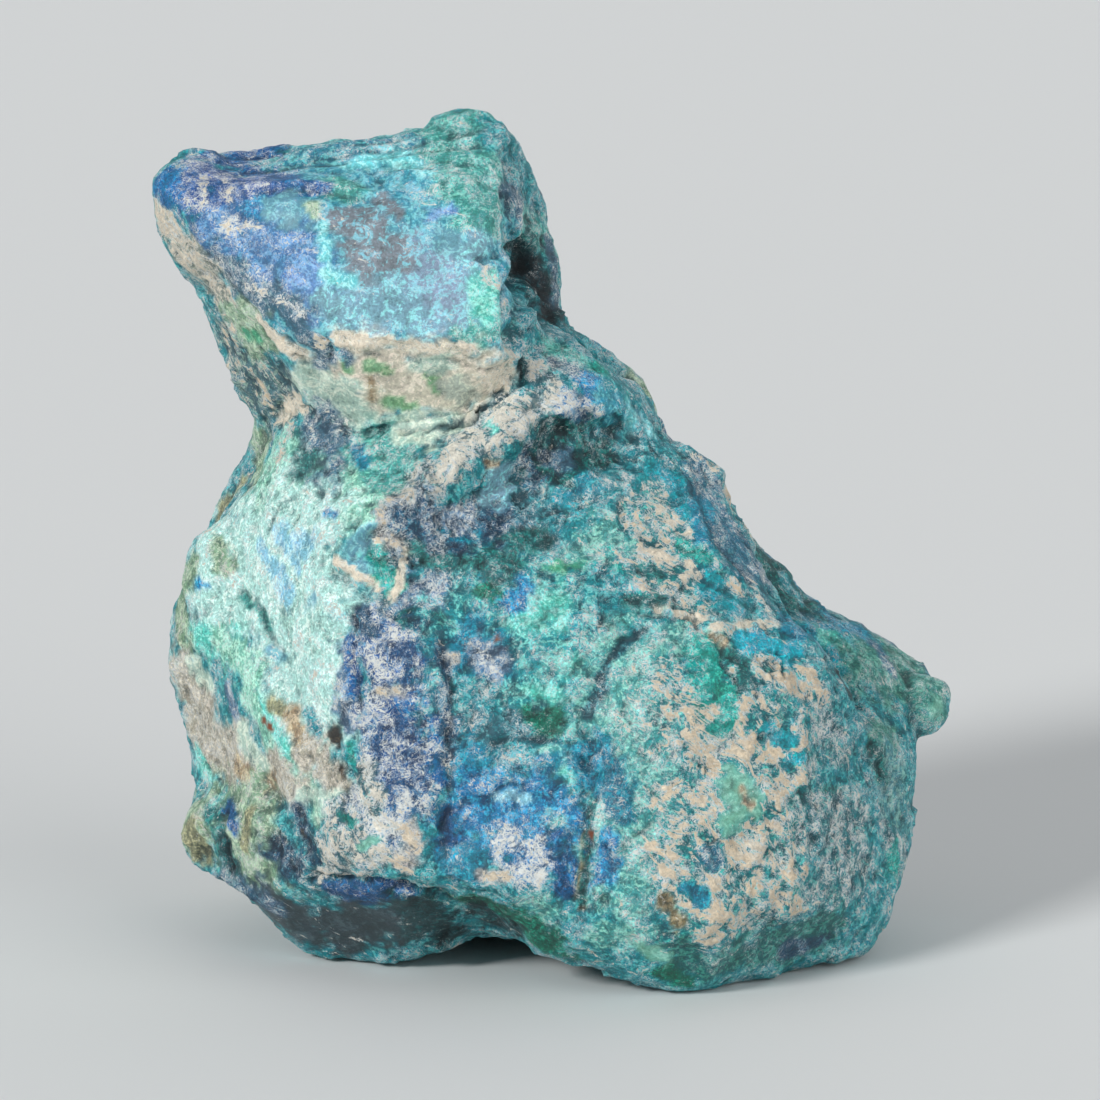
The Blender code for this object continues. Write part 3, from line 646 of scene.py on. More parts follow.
# Where they lie: each mix with its strokes, which have a reach in mm and places on the photograph.
# Later ones lie over earlier ones
frontPatches = [
    # the head
    ("sky", (20, (330, 200), (440, 200), (430, 280), (330, 290))),
    ("paleSky", (9, (400, 255), (440, 300), (370, 300))),
    ("seaGreen", (8, (420, 145), (470, 135), (480, 200))),
    ("streakedSea", (5, (262, 166), (330, 152), (398, 145))),
    ("seaGreen", (3.5, (322, 185), (350, 188))),
    ("brightSky", (2.4, (350, 166), (392, 156), (425, 170))),
    ("flakedBlue", (8, (205, 178), (250, 185), (228, 225), (222, 240))),
    ("ultramarine", (7, (228, 240), (262, 262), (298, 255)), (4, (270, 235), (295, 240))),
    ("royalBlue", (3, (240, 167), (270, 176), (295, 183), (312, 188))),
    ("azure", (3.2, (162, 178), (170, 190))),
    ("periwinkle", (4.5, (302, 285), (316, 294)), (1.2, (430, 214), (452, 209))),
    ("paleSky", (2.6, (322, 300), (334, 306))),
    ("cobalt", (2.2, (256, 206), (262, 210))),
    ("greyTurquoise", (3.8, (284, 204), (296, 214))),
    ("sage", (1.6, (311, 206), (314, 214))),
    ("violetGrey", (5, (415, 245), (440, 290), (470, 295))),
    ("warmGrey", (4.6, (348, 230), (384, 242), (366, 264), (404, 242)), (2.2, (382, 204), (396, 210))),
    ("greyTurquoise", (2.4, (442, 234), (454, 246))),
    ("brightSky", (1.8, (328, 276), (350, 282)), (1.2, (322, 228), (325, 258))),
    ("paleSky", (2.6, (480, 232), (472, 262))),
    ("brightSea", (4, (489, 285), (492, 322))),
    ("flakes", (1.5, (486, 268), (494, 286), (506, 306))),
    ("seaGreen", (3.6, (468, 336), (503, 338))),
    ("slate", (3.8, (222, 264), (250, 288), (286, 312), (314, 334))),
    ("flakes",
        (0.9, (246, 284), (280, 300), (304, 312)), (1.3, (203, 178), (206, 200)),
        (1.3, (224, 180), (234, 196)), (1.4, (226, 226), (240, 224), (256, 226))),
    ("creamStreak",
        (2.6, (158, 208), (168, 226), (180, 238)), (4.8, (186, 248), (205, 272), (226, 300), (236, 318))),
    ("azure", (2.4, (158, 180), (168, 187))),
    ("sage", (5, (238, 325), (250, 345), (262, 330))),
    ("creamPatch", (1.5, (166, 212), (186, 242), (206, 272))),
    ("malachite", (1.5, (248, 334), (256, 338))),
    ("creamRim", (1.6, (262, 320), (284, 344), (304, 355))),
    ("mottle", (7, (235, 352), (252, 380), (284, 384), (262, 402))),
    ("beigePatch", (1.4, (260, 380), (266, 392))),
    ("creamPatch", (1.4, (288, 392), (300, 402))),
    ("teal", (9, (515, 150), (530, 190), (545, 235))),
    ("slate", (4, (512, 200), (524, 220))),
    ("seaGreen", (5, (525, 230), (545, 240))),
    # painted shade in the cave on the head's right side
    ("shadowTeal", (6.5, (522, 262), (540, 290), (545, 312))),
    ("caveTeal", (4, (530, 272), (540, 296), (544, 308))),
    ("slate", (2.6, (548, 240), (557, 300))),
    # the chin
    ("chinStone", (9, (355, 382), (400, 380), (465, 385))),
    ("mintStone", (5, (312, 385), (340, 392), (352, 412))),
    ("creamRim", (1.5, (342, 336), (400, 343), (456, 350), (508, 354)), (1.4, (344, 342), (358, 350))),
    ("chinStone", (3.6, (492, 372), (506, 376))),
    ("creamRim", (3, (500, 370), (511, 360), (508, 384)), (2, (300, 400), (284, 414))),
    ("greenCloud",
        (1.5, (372, 367), (388, 370)), (1.6, (391, 403), (408, 410)), (1.4, (430, 378), (436, 390)),
        (1.2, (344, 360), (350, 368))),
    ("mintStone", (2.2, (424, 364), (446, 364))),
    ("greySmudge", (2.6, (450, 384), (463, 398))),
    ("tan", (0.9, (369, 380), (371, 398))),
    ("mintStone", (2.4, (398, 424), (462, 427))),
    ("slate", (1.9, (326, 350), (322, 366)), (1.4, (344, 352), (350, 360))),
    ("creamPatch", (1.4, (319, 334), (324, 344))),
    ("shadowTeal",
        (1, (312, 421), (344, 428), (385, 430), (425, 432), (472, 421)),
        (1, (472, 421), (497, 399), (519, 386))),
    # the neck
    ("mintStreak", (10, (268, 480), (320, 500), (380, 495))),
    ("darkTeal", (2.6, (302, 436), (300, 468))),
    ("slate", (5, (326, 428), (338, 452), (322, 482)), (2, (320, 484), (324, 500))),
    ("creamPatch", (1.4, (291, 430), (280, 456))),
    ("seaGreen", (4.4, (366, 440), (398, 448), (384, 478))),
    ("blueTeal", (1.2, (358, 448), (366, 466))),
    ("mintStone", (2.4, (402, 434), (430, 438))),
    ("sage", (3.8, (262, 440), (256, 476))),
    ("oliveTan", (2.6, (240, 486), (222, 514))),
    ("whiteCrust",
        (3.4, (545, 372), (566, 396), (530, 400)),
        (4.6, (540, 392), (508, 415), (478, 438), (448, 462), (424, 482), (400, 502))),
    ("whitePatch", (1.9, (508, 408), (492, 436), (452, 448), (440, 478))),
    ("pinkCrust", (2.8, (396, 506), (384, 530), (388, 546))),
    ("brightSea", (1, (488, 424), (494, 430))),
    # the shoulder and the hollow
    ("teal", (10, (550, 345), (600, 372), (640, 405))),
    ("seaGreen", (4, (548, 346), (572, 352))),
    ("jade", (4, (610, 378), (626, 396))),
    ("deepBlue", (2, (588, 378), (592, 392))),
    ("cobalt", (2.6, (588, 384), (600, 392))),
    ("slate", (2, (556, 362), (572, 368))),
    ("sky", (4.4, (618, 402), (636, 428))),
    ("teal", (3.2, (612, 372), (622, 388))),
    ("whiteBlue", (3, (562, 400), (584, 412), (592, 424))),
    ("whiteCrust", (2.4, (536, 372), (548, 384))),
    ("shadowTeal", (0.9, (521, 358), (522, 374))),
    # the socket: its own dark teal with painted shade of the hollow
    ("socketTeal", (5.6, (546, 440), (590, 440), (622, 446)), (5, (545, 470), (602, 464))),
    ("brightSky", (3.2, (630, 414), (644, 430))),
    ("navy", (2.2, (524, 458), (536, 482))),
    ("slateTeal", (2.2, (556, 458), (562, 464))),
    ("vividTurquoise", (2.2, (558, 502), (578, 504))),
    ("blueTeal", (2.6, (580, 488), (602, 485))),
    ("seaDepth", (7, (505, 498), (532, 540), (500, 560))),
    ("navy", (7, (420, 530), (450, 552), (486, 530), (500, 572))),
    ("blueTeal", (3, (452, 524), (472, 536))),
    ("paleSky", (3.2, (503, 474), (492, 490))),
    ("darkTeal", (3, (446, 562), (496, 562)), (2, (414, 545), (430, 562)), (2.2, (480, 568), (510, 578))),
    ("mistViolet", (2.6, (448, 512), (462, 520))),
    ("tan", (1, (490, 462), (498, 464))),
    # the pale left face
    ("paleMint", (16, (225, 570), (290, 560), (300, 625), (305, 685))),
    ("iceBlue",
        (3, (282, 532), (306, 548)), (2, (268, 560), (288, 596)), (1.6, (258, 545), (268, 560)),
        (1.2, (292, 560), (296, 572))),
    ("greyTurquoise", (1.4, (312, 602), (304, 622))),
    ("paleMint", (3, (236, 552), (252, 572)), (5, (302, 640), (330, 650))),
    ("brightSea", (4.4, (204, 640), (232, 650))),
    ("cobalt", (1.1, (325, 513), (332, 518)), (1.0, (197, 583), (206, 586))),
    ("sage", (2.4, (222, 545), (226, 562)), (4, (192, 560), (180, 610), (184, 640))),
    ("mintStreak", (3.6, (218, 640), (240, 660), (252, 675))),
    ("beigeMist", (6.4, (184, 672), (200, 700), (204, 742), (236, 752))),
    ("mistViolet", (1.6, (228, 690), (236, 716))),
    ("mintStreak", (3.6, (245, 690), (264, 715), (270, 742), (300, 776), (318, 802))),
    ("brightSea", (1.8, (262, 702), (272, 726), (288, 752)), (2.8, (200, 762), (209, 774))),
    ("oliveTan", (1.5, (270, 700), (282, 708))),
    ("beigeMist", (5, (235, 762), (268, 774), (292, 786))),
    ("tan", (2.6, (240, 768), (270, 782)), (2.6, (290, 712), (303, 742), (322, 762))),
    ("mintStone", (2.6, (242, 738), (262, 760)), (2.6, (194, 664), (206, 680))),
    ("beigeMist", (3.4, (310, 752), (334, 776), (352, 790))),
    ("teal", (1.6, (310, 716), (316, 728))),
    ("darkPit", (1.5, (334, 730), (339, 744)), (0.9, (341, 768), (342, 774))),
    ("jade", (1.5, (348, 746), (356, 764))),
    ("seaGreen", (1, (242, 596), (260, 610), (270, 632))),
    ("greyTurquoise", (1.2, (268, 650), (284, 658))),
    ("mistViolet", (2.6, (346, 680), (346, 722))),
    ("mintStone", (3, (302, 792), (332, 802))),
    ("rustSpot", (0.7, (263, 719), (264, 721)), (0.9, (269, 728), (271, 730))),
    # the left foot
    ("sage", (8, (190, 820), (250, 826), (262, 870))),
    ("darkTeal", (3, (212, 810), (224, 846), (228, 878))),
    ("oliveTan", (3, (190, 826), (201, 852))),
    ("sage", (2.6, (254, 778), (250, 812), (246, 872))),
    ("oliveTan", (1.6, (250, 812), (246, 850))),
    ("shadowTeal", (2, (226, 838), (230, 872))),
    ("deepBlue", (1.8, (228, 806), (236, 824))),
    ("paleTeal", (1.2, (214, 800), (224, 792))),
    ("inkBlue", (4.6, (278, 846), (290, 864)), (2.8, (302, 812), (310, 834), (316, 862))),
    ("darkPit", (0.7, (303, 833), (305, 834))),
    ("whiteCrust", (3, (322, 842), (340, 868), (322, 884)), (5, (350, 815), (372, 842), (348, 852))),
    ("jade", (1.2, (344, 818), (350, 826))),
    ("smoothJade", (1.2, (362, 848), (378, 836))),
    ("slate", (3, (226, 884), (262, 892))),
    # the blue pillar
    ("frostViolet", (8, (392, 645), (398, 700), (400, 760), (392, 795))),
    ("royalBlue", (3.6, (408, 704), (430, 716), (440, 742)), (1.6, (352, 640), (353, 692))),
    ("azure", (2.6, (448, 750), (440, 778))),
    ("mistViolet", (3.6, (408, 598), (436, 594))),
    ("darkTeal", (2.2, (404, 616), (434, 618))),
    ("inkBlue", (2.2, (418, 622), (434, 634)), (1.6, (436, 688), (440, 712))),
    ("navy", (1.8, (372, 634), (360, 616))),
    ("pinkCrust", (1.2, (382, 690), (400, 692))),
    ("whiteCrust", (2.6, (366, 776), (378, 800), (384, 826))),
    ("pinkCrust", (2.2, (408, 822), (414, 848), (404, 862))),
    ("whiteBlue", (2.6, (395, 812), (416, 806))),
    ("greyTurquoise", (2.8, (366, 530), (356, 552), (370, 572))),
    ("pinkCrust", (1.4, (380, 538), (396, 542))),
    ("jade", (2.4, (374, 554), (384, 570), (390, 584))),
    ("creamRim", (0.9, (336, 560), (362, 577), (394, 598)), (0.8, (404, 548), (401, 576), (394, 598))),
    # the middle
    ("turquoiseGreen", (13, (500, 625), (560, 600), (560, 680), (500, 695))),
    ("darkTeal",
        (3.4, (490, 560), (508, 564)), (3.2, (520, 540), (540, 542)), (1.8, (588, 702), (596, 716))),
    ("brightSea",
        (3.4, (515, 622), (548, 608)), (2.6, (572, 664), (582, 668)), (2.2, (538, 692), (552, 698))),
    ("malachite", (2.6, (560, 566), (584, 560))),
    ("deepGreen", (2.4, (484, 588), (500, 596))),
    ("blueTeal", (4, (490, 662), (474, 640))),
    ("mistViolet", (3, (480, 652), (496, 664))),
    ("cobalt", (2.4, (520, 590), (512, 604))),
    ("blueTeal", (3, (450, 650), (462, 676))),
    ("teal", (3.4, (460, 690), (482, 702))),
    ("seaDepth", (4, (468, 738), (524, 738)), (2.4, (612, 600), (604, 640))),
    ("deepGreen", (2.2, (536, 718), (552, 724))),
    ("blueTeal", (4.4, (462, 762), (484, 782))),
    ("teal", (3, (512, 765), (530, 760))),
    ("sky", (2.6, (546, 756), (556, 764))),
    ("blueTeal", (3, (584, 752), (592, 772))),
    ("pinkCrust", (1.2, (552, 770), (564, 760)), (1.1, (441, 646), (456, 660))),
    ("brightSea", (1.6, (558, 770), (566, 774))),
    ("paleTeal", (2, (544, 752), (554, 766))),
    ("rustSpot", (0.6, (496, 639), (498, 641))),
    ("cobalt", (7.4, (480, 815), (540, 806), (562, 824))),
    ("iceBlue", (1.4, (500, 797), (528, 800))),
    ("deepBlue", (2.4, (446, 812), (450, 852))),
    ("blueTeal", (3.2, (458, 862), (474, 868))),
    ("whiteBlue", (3.8, (508, 850), (542, 854), (524, 870))),
    ("deepBlue", (3.2, (566, 846), (568, 884))),
    ("pinkCrust", (1.2, (480, 874), (506, 878))),
    ("brownStain", (1.1, (588, 832), (581, 868), (580, 902))),
    ("rustSpot", (0.6, (590, 831), (591, 834))),
    ("navy", (1.7, (440, 650), (447, 700), (446, 760))),
    # the right slope
    ("teal", (12, (635, 480), (640, 540), (650, 590)), (2.4, (626, 450), (642, 454))),
    ("jade", (3, (612, 556), (626, 566))),
    ("seaCrust", (9, (655, 520), (662, 570), (680, 590))),
    ("paleTeal", (4, (600, 530), (592, 548))),
    ("vividTurquoise",
        (2.6, (680, 488), (688, 516)), (1.8, (652, 470), (674, 476)), (2.4, (707, 574), (711, 598)),
        (2, (728, 607), (743, 612))),
    ("jade", (2.2, (688, 545), (702, 556))),
    ("creamPatch",
        (1.7, (648, 487), (662, 496)), (1.4, (664, 510), (668, 520)), (1.5, (672, 526), (692, 532)),
        (1.7, (640, 545), (660, 556)), (2, (675, 565), (692, 572)), (1.4, (644, 590), (666, 588))),
    ("beigePatch", (1.4, (730, 580), (740, 592))),
    ("darkTeal",
        (1.7, (660, 575), (642, 568)), (1.9, (626, 604), (662, 602)),
        (4.8, (766, 560), (790, 588), (802, 602))),
    ("slateTeal", (6.4, (705, 482), (715, 520), (742, 562))),
    ("creamPatch", (1.1, (690, 457), (714, 467))),
    ("blueTeal", (3, (700, 506), (704, 530))),
    ("flakes", (1.1, (745, 574), (764, 604), (776, 620))),
    ("teal", (2.2, (786, 582), (798, 596))),
    ("paleTeal", (2.4, (614, 536), (628, 544))),
    ("slate", (2.4, (552, 454), (562, 458))),
    # painted shade deep in the socket, over its dark teal
    ("socketTeal", (2.6, (584, 460), (606, 455))),
    # the crusted block
    ("paleTeal", (12, (635, 680), (640, 760), (640, 840))),
    ("blueTeal", (3.6, (588, 750), (594, 780))),
    ("seaCrust", (16, (735, 720), (755, 800), (725, 870))),
    ("deepSea", (3.4, (612, 778), (622, 808))),
    ("paleTeal", (3.2, (680, 636), (702, 642))),
    ("jade", (3.8, (706, 654), (712, 690), (720, 722))),
    ("seaDepth", (1.4, (638, 632), (618, 652), (600, 690), (586, 712))),
    ("darkTeal", (1, (592, 800), (590, 840), (580, 900))),
    ("creamRim", (1.1, (655, 612), (690, 614), (706, 618)), (1.2, (712, 628), (750, 625), (796, 624))),
    ("tan", (1.2, (712, 638), (724, 642))),
    ("vividBlue", (3, (745, 642), (768, 645), (790, 650))),
    ("darkTeal", (1.6, (728, 650), (740, 666), (746, 690))),
    ("beigePatch",
        (1.6, (758, 660), (776, 668)), (2, (772, 672), (792, 686), (822, 702)),
        (1.8, (800, 664), (816, 682)), (2.6, (688, 704), (702, 716), (690, 742)),
        (2.8, (700, 742), (712, 768)), (1.2, (746, 704), (736, 732)),
        (2.1, (740, 745), (775, 756), (792, 776)), (2, (776, 746), (800, 748)),
        (1.9, (698, 800), (722, 806)), (1.6, (660, 800), (672, 790)),
        (2.5, (714, 833), (745, 836), (768, 832)), (1.8, (650, 844), (660, 853))),
    ("creamPatch", (3.4, (750, 856), (770, 864))),
    ("beigePatch",
        (2.3, (744, 868), (756, 886)), (1.8, (776, 864), (802, 872)), (2, (666, 878), (672, 892)),
        (2, (778, 900), (800, 906)), (2.5, (698, 902), (716, 906), (712, 936)),
        (1.4, (700, 880), (714, 872))),
    ("vividTurquoise", (1.6, (768, 730), (792, 740)), (1.4, (788, 762), (802, 758))),
    ("smoothJade", (3.2, (730, 782), (745, 800), (736, 816))),
    ("tan", (0.9, (742, 790), (750, 804))),
    ("darkTeal", (2.4, (800, 800), (832, 798))),
    ("frostTeal", (7, (820, 820), (850, 830), (850, 868), (828, 890)), (3.6, (820, 722), (842, 752))),
    ("slateTeal", (2.2, (706, 856), (718, 858))),
    ("brownStain", (1.7, (664, 900), (672, 914), (680, 928))),
    ("blueTeal", (2, (688, 890), (700, 896))),
    ("paleTeal", (3.4, (622, 862), (642, 880))),
    ("cobalt", (3, (600, 880), (606, 850))),
    ("paleTeal", (3, (604, 900), (632, 912)), (3, (602, 936), (644, 940))),
    ("rimTeal", (6, (892, 750), (896, 820))),
    ("teal", (2.6, (866, 760), (872, 800))),
    ("darkTeal", (2.4, (874, 746), (884, 772))),
    ("frostTeal", (3, (892, 836), (904, 858))),
    ("jade", (3, (894, 858), (906, 874))),
    ("bevelTeal", (5.6, (690, 962), (760, 950), (830, 930))),
    ("inkBlue", (2, (784, 950), (820, 941))),
    ("deepGreen", (2.6, (660, 970), (682, 980))),
    ("smoothJade", (2, (642, 946), (662, 956))),
    # the spur
    ("blueTeal", (4.6, (795, 626), (832, 630), (860, 634))),
    ("jade", (3, (824, 634), (838, 644))),
    ("brightSea", (2.4, (822, 636), (838, 644))),
    ("vividTurquoise", (2.2, (832, 654), (842, 664))),
    ("teal", (2.4, (850, 640), (858, 648))),
    ("spurGreen", (7, (868, 668), (912, 686), (936, 692)), (2.8, (876, 728), (892, 736))),
    ("slateTeal", (2.4, (880, 648), (890, 666))),
    ("smoothJade", (1.6, (932, 712), (940, 706))),
    ("shadowTeal", (1.4, (838, 672), (852, 696))),
    # the underside of the ledge, its colours darkened partly as painted shade under the ledge
    ("chalcedony", (8, (285, 916), (340, 932), (384, 920))),
    ("deepBlue", (2.8, (328, 888), (384, 884)), (3.4, (342, 890), (400, 893))),
    ("shadowTeal", (5, (414, 905), (440, 934))),
    ("deepGreen", (5, (474, 898), (520, 922), (556, 948))),
    ("shadowTeal", (4, (486, 914), (510, 930))),
    ("paleTeal", (2.8, (532, 900), (548, 912))),
    ("inkBlue", (2.4, (252, 898), (276, 908))),
    ("creamPatch", (0.8, (354, 938), (362, 940))),
]

# Sides that the photograph doesn't show: the same, with places in mm
otherPatches = [
    ("teal", (26, (30, 36, 30), (-30, 36, 30))),
    ("blueTeal", (18, (-10, 38, 60), (20, 34, 66))),
    ("seaGreen", (16, (-30, 26, 110), (-5, 24, 105))),
    ("flakedBlue", (10, (-44, 26, 104), (-50, 16, 112))),
    ("paleMint", (15, (-56, 20, 50), (-52, 26, 64))),
    ("beigeMist", (8, (-54, 26, 32), (-46, 34, 26))),
    ("cobalt", (11, (-14, 42, 30), (4, 42, 26))),
    ("turquoiseGreen", (12, (30, 36, 50), (14, 36, 60)), (9, (-40, 13, 126), (-24, 12, 130))),
    ("paleTeal", (14, (-40, 34, 74), (-20, 34, 80))),
    ("royalBlue", (8, (-20, 40, 62), (-4, 40, 70)), (5, (-54, 6, 124), (-46, 14, 125))),
    ("mintStreak", (10, (-44, 34, 44), (-30, 42, 36))),
    ("seaCrust", (12, (-30, 40, 44), (-14, 42, 54)), (11, (36, 34, 24), (50, 24, 22))),
    ("slateTeal", (10, (20, 22, 80), (8, 26, 88))),
    ("whiteCrust", (5, (-26, 27, 92), (-8, 26, 92))),
    ("vividTurquoise", (6, (26, 38, 40), (36, 35, 46))),
    ("brightSea", (7, (-40, 33, 56), (-28, 37, 64))),
    ("frostViolet", (9, (-36, 38, 34), (-42, 34, 20))),
    ("sage", (7, (-50, 28, 14), (-36, 36, 10))),
    ("deepBlue", (7, (12, 43, 38), (20, 42, 50))),
    ("creamPatch", (3, (0, 42, 62), (8, 40, 70))),
    ("beigePatch", (3, (20, 40, 14), (32, 36, 18))),
    ("jade", (7, (0, 43, 12), (-16, 42, 14)), (6, (-12, 4, 132), (-8, 12, 128))),
    ("navy", (8, (-14, 26, 116), (2, 22, 118))),
    ("ultramarine", (7, (4, 20, 100), (10, 12, 108))),
    ("brightSea", (6, (-34, 27, 116), (-22, 26, 122))),
    ("mistViolet", (8, (56, 14, 40), (54, 20, 54))),
    ("spurGreen", (8, (60, 4, 54), (50, 22, 34))),
    ("azure", (6, (46, 28, 12), (36, 34, 8))),
    ("bevelTeal", (14, (-20, 20, 2), (20, 10, 2))),
    ("sky", (5, (-30, 18, 128), (-18, 20, 127))),
    ("seaCrust", (8, (24, 10, 78), (34, 4, 68))),
    ("blueTeal", (8, (30, 14, 66), (44, 8, 56))),
    ("sage", (5, (14, 16, 88), (24, 20, 72))),
]

plainMix = mineral("#3f8894", "#68adb0", 0.45, 0.19, 0.1, 0.14, warmth=0.5, rust=0, fibre=0, gloss=0)

patchEdge = {
    "slope": 1.6,  # how fast a patch fades towards its reach
    "inset": 0.35,  # how far inside its reach its edge lies, on the scale of the slope
    "width": 0.8,  # and how soft it is
    "strays": [(5, 2.2, (0.3, 21.7, 47.9)), (1.9, 1.2, (5.3, 31.7, 67.9))],  # they bend it, in mm
    "small": 4,  # mm of reach, under which a patch strays less and frays more finely
    "frays": {"fine": (1.1, 0.575), "middle": (2, 0.69), "broad": (4, 0.69)},  # size in mm, strength
}


def paint(points):
    # both tones and all coverings at every point
    values = {
        name: np.tile(linear(value)[:3] if name in ("body", "vein") else [value], (len(points), 1))
        for name, value in plainMix.items()
    }
    stray = strayOver(points, patchEdge["strays"])
    small, seedStep = patchEdge["small"], 3.7
    frays = {
        name: strength * noiseOver(points, size, size * seedStep)
        for name, (size, strength) in patchEdge["frays"].items()
    }
    laid = [(mix, *stroke) for mix, *strokes in otherPatches + frontPatches for stroke in strokes]
    for mix, reach, *places in laid:
        away = distanceToPath(points + stray * min(1, reach / small), pathOf(places))
        edge = (1 - away / reach) * patchEdge["slope"] - patchEdge["inset"]
        edge += frays["middle" if reach < small else "broad"] + frays["fine"]
        here = smoothStep(edge / patchEdge["width"] + 0.5)[:, None]
        for name, value in mixes[mix].items():
            there = linear(value)[:3] if name in ("body", "vein") else [value]
            values[name] = values[name] + (there - values[name]) * here
    return values


def setColours(mesh, name, columns):
    colours = np.concatenate(columns, axis=1).astype(np.float32)
    mesh.attributes.new(name, "FLOAT_COLOR", "POINT").data.foreach_set("color", colours.ravel())


# Wear and painted light: hollows are darker, partly as painted shade and partly as deeper-coloured mineral,
# and hold dark specks, and crests are lighter as painted light, with more frost and crust
wearAndPaintedShade = {  # the last five are its strengths
    "rounds": 4,  # of the mean that a hollow is measured from
    "full": 0.2,  # mm under or over that mean, where the wear is full
    # dark is painted shade in the hollows together with their deeper-coloured mineral, and light is painted
    # light on the crests
    "dark": 0.4,
    "light": 0.15,
    "pits": 0.25,
    "frost": 0.1,
    "crust": 0.3,
}

under["tree"] = treeOf(stoneMesh)
cover = paint(meshArrays(stoneMesh)[0])
hollow = np.clip(hollowness(stoneMesh, wearAndPaintedShade["rounds"]) / wearAndPaintedShade["full"], -1, 1)[:, None]
deep, crest = np.clip(hollow, 0, 1), np.clip(-hollow, 0, 1)
# painted shade in the hollows and painted light on the crests
shade = 1 - wearAndPaintedShade["dark"] * deep + wearAndPaintedShade["light"] * crest
cover["pits"] += wearAndPaintedShade["pits"] * deep
cover["frost"] += wearAndPaintedShade["frost"] * crest
cover["crust"] *= 1 - wearAndPaintedShade["crust"] * hollow
# both tones carry the painted shade of the hollows and the painted light of the crests
setColours(stoneMesh, "bodyTone", [cover["body"] * shade, cover["share"]])
setColours(stoneMesh, "veinTone", [cover["vein"] * shade, cover["crust"]])
setColours(stoneMesh, "coverings", [cover["frost"], cover["pits"], cover["warmth"], cover["rust"]])
setColours(stoneMesh, "finish", [cover["fibre"], cover["gloss"], shade, shade])
print("minerals laid")


# Chrysocolla with azurite and malachite: waxy where it broke clean, dull and gritty elsewhere,
# under a chalky coat of kaolin and white threads along its crazing

patterns = {  # feature size in mm, detail, roughness, distortion
    "islands": (2.0, 8, 0.74, 1.6),
    "frost": (1.5, 5, 0.68, 2.2),
    "pits": (1.2, 5, 0.7, 1.8),
    "crust": (2.4, 8, 0.72, 2.4),
    "shade": (3.6, 6, 0.65, 0.6),
    "tooth": (0.45, 2, 0.65, 0.3),  # the real grit is finer, and is drawn as coarse as it needs to show
    "streaks": (0.75, 4, 0.65, 0.5),
    "lace": (1.7, 5, 0.6, 1.8),
}
apart = (17, 29, 43)  # mm from one pattern to the next, so that no two fall together
runs = {  # patterns that are drawn out: the streaks along the bedding, the crust down to the right
    "streaks": {"Rotation": (0, 0.3, 0), "Scale": (0.16, 1, 1)},
    "crust": {"vector_type": "TEXTURE", "Rotation": (0, 0.7, 0), "Scale": (1.9, 1, 1)},
}
toneHex = {
    "frost": "#c6d0da",
    "thread": "#e0e2dc",
    "crustWhite": "#e4e1d4",
    "crustBeige": "#dcc8aa",
    "rust": "#7c4226",
}
look = {
    "lift": 0.36,  # how far an amount of 1 raises its pattern
    "dim": -0.2,  # what the body's brightness starts from
    "saturation": 1.22,
    "deepTint": (0.3, 0.4, 0.46, 1),  # what cracks, pits and the painted shadows beside the frost threads leave of the tone
    "chalk": 0.85,  # the crust's roughness
    "ior": 1.5,
    "relief": 0.4,  # mm
}

rock = bpy.data.materials.new("chrysocolla")
rock.use_nodes = True
rockTree = rock.node_tree
shader = rockTree.nodes["Principled BSDF"]


def addNode(kind, settings=None, links=None):
    # a shader node with its properties and socket values, fed by the outputs in links
    node = rockTree.nodes.new("ShaderNode" + kind)
    for key, value in (settings or {}).items():
        if isinstance(key, str) and hasattr(node, key):
            setattr(node, key, value)
        else:
            node.inputs[key].default_value = value
    for key, output in (links or {}).items():
        rockTree.links.new(output, node.inputs[key])
    return node


objectPlace = addNode("TexCoord").outputs["Object"]
inMm = addNode("VectorMath", {"operation": "SCALE", "Scale": 1 / mm}, {0: objectPlace}).outputs[0]
noises = {}
for index, (name, (size, detail, roughness, distortion)) in enumerate(patterns.items()):
    settings = {"Location": [step * index for step in apart], **runs.get(name, {})}
    moved = addNode("Mapping", settings, {"Vector": inMm}).outputs[0]
    settings = {"Scale": 1 / size, "Detail": detail, "Roughness": roughness, "Distortion": distortion}
    noises[name] = addNode("TexNoise", settings, {"Vector": moved}).outputs["Fac"]

spread = {}
for name in ("bodyTone", "veinTone", "coverings", "finish"):
    spread[name] = addNode("Attribute", {"attribute_name": name}).outputs
coverParts = addNode("SeparateColor", None, {0: spread["coverings"]["Color"]}).outputs
finishParts = addNode("SeparateColor", None, {0: spread["finish"]["Color"]}).outputs
amounts = {
    "share": spread["bodyTone"]["Alpha"],
    "crust": spread["veinTone"]["Alpha"],
    "frost": coverParts[0],
    "pits": coverParts[1],
    "warmth": coverParts[2],
    "rust": spread["coverings"]["Alpha"],
    "fibre": finishParts[0],
    "gloss": finishParts[1],
}

# Values that follow another: what each follows, by how much, and what it is at 0
led = {}
for name, source, gain, start in (
    ("fray", noises["tooth"], 0.14, -0.07),  # how far the grit shifts an edge
    ("grain", noises["tooth"], 1, -0.5),
    ("gather", noises["shade"], 1, -0.5),  # where coverings gather
    ("hue", noises["shade"], 0.1, 0.448),
    ("warm", noises["islands"], 2, 0),  # where the crust is beige
    ("coatShade", noises["pits"], 2, -0.05),
    ("coarse", amounts["gloss"], -1.2, 1.9),  # how strongly the grain shades the body
    ("waxy", amounts["gloss"], -0.2, 0.6),  # roughness
    ("keen", amounts["gloss"], -0.45, 0.65),  # how strongly the finest relief shows
):
    led[name] = addNode("Math", {"operation": "MULTIPLY_ADD", 1: gain, 2: start}, {0: source}).outputs[0]

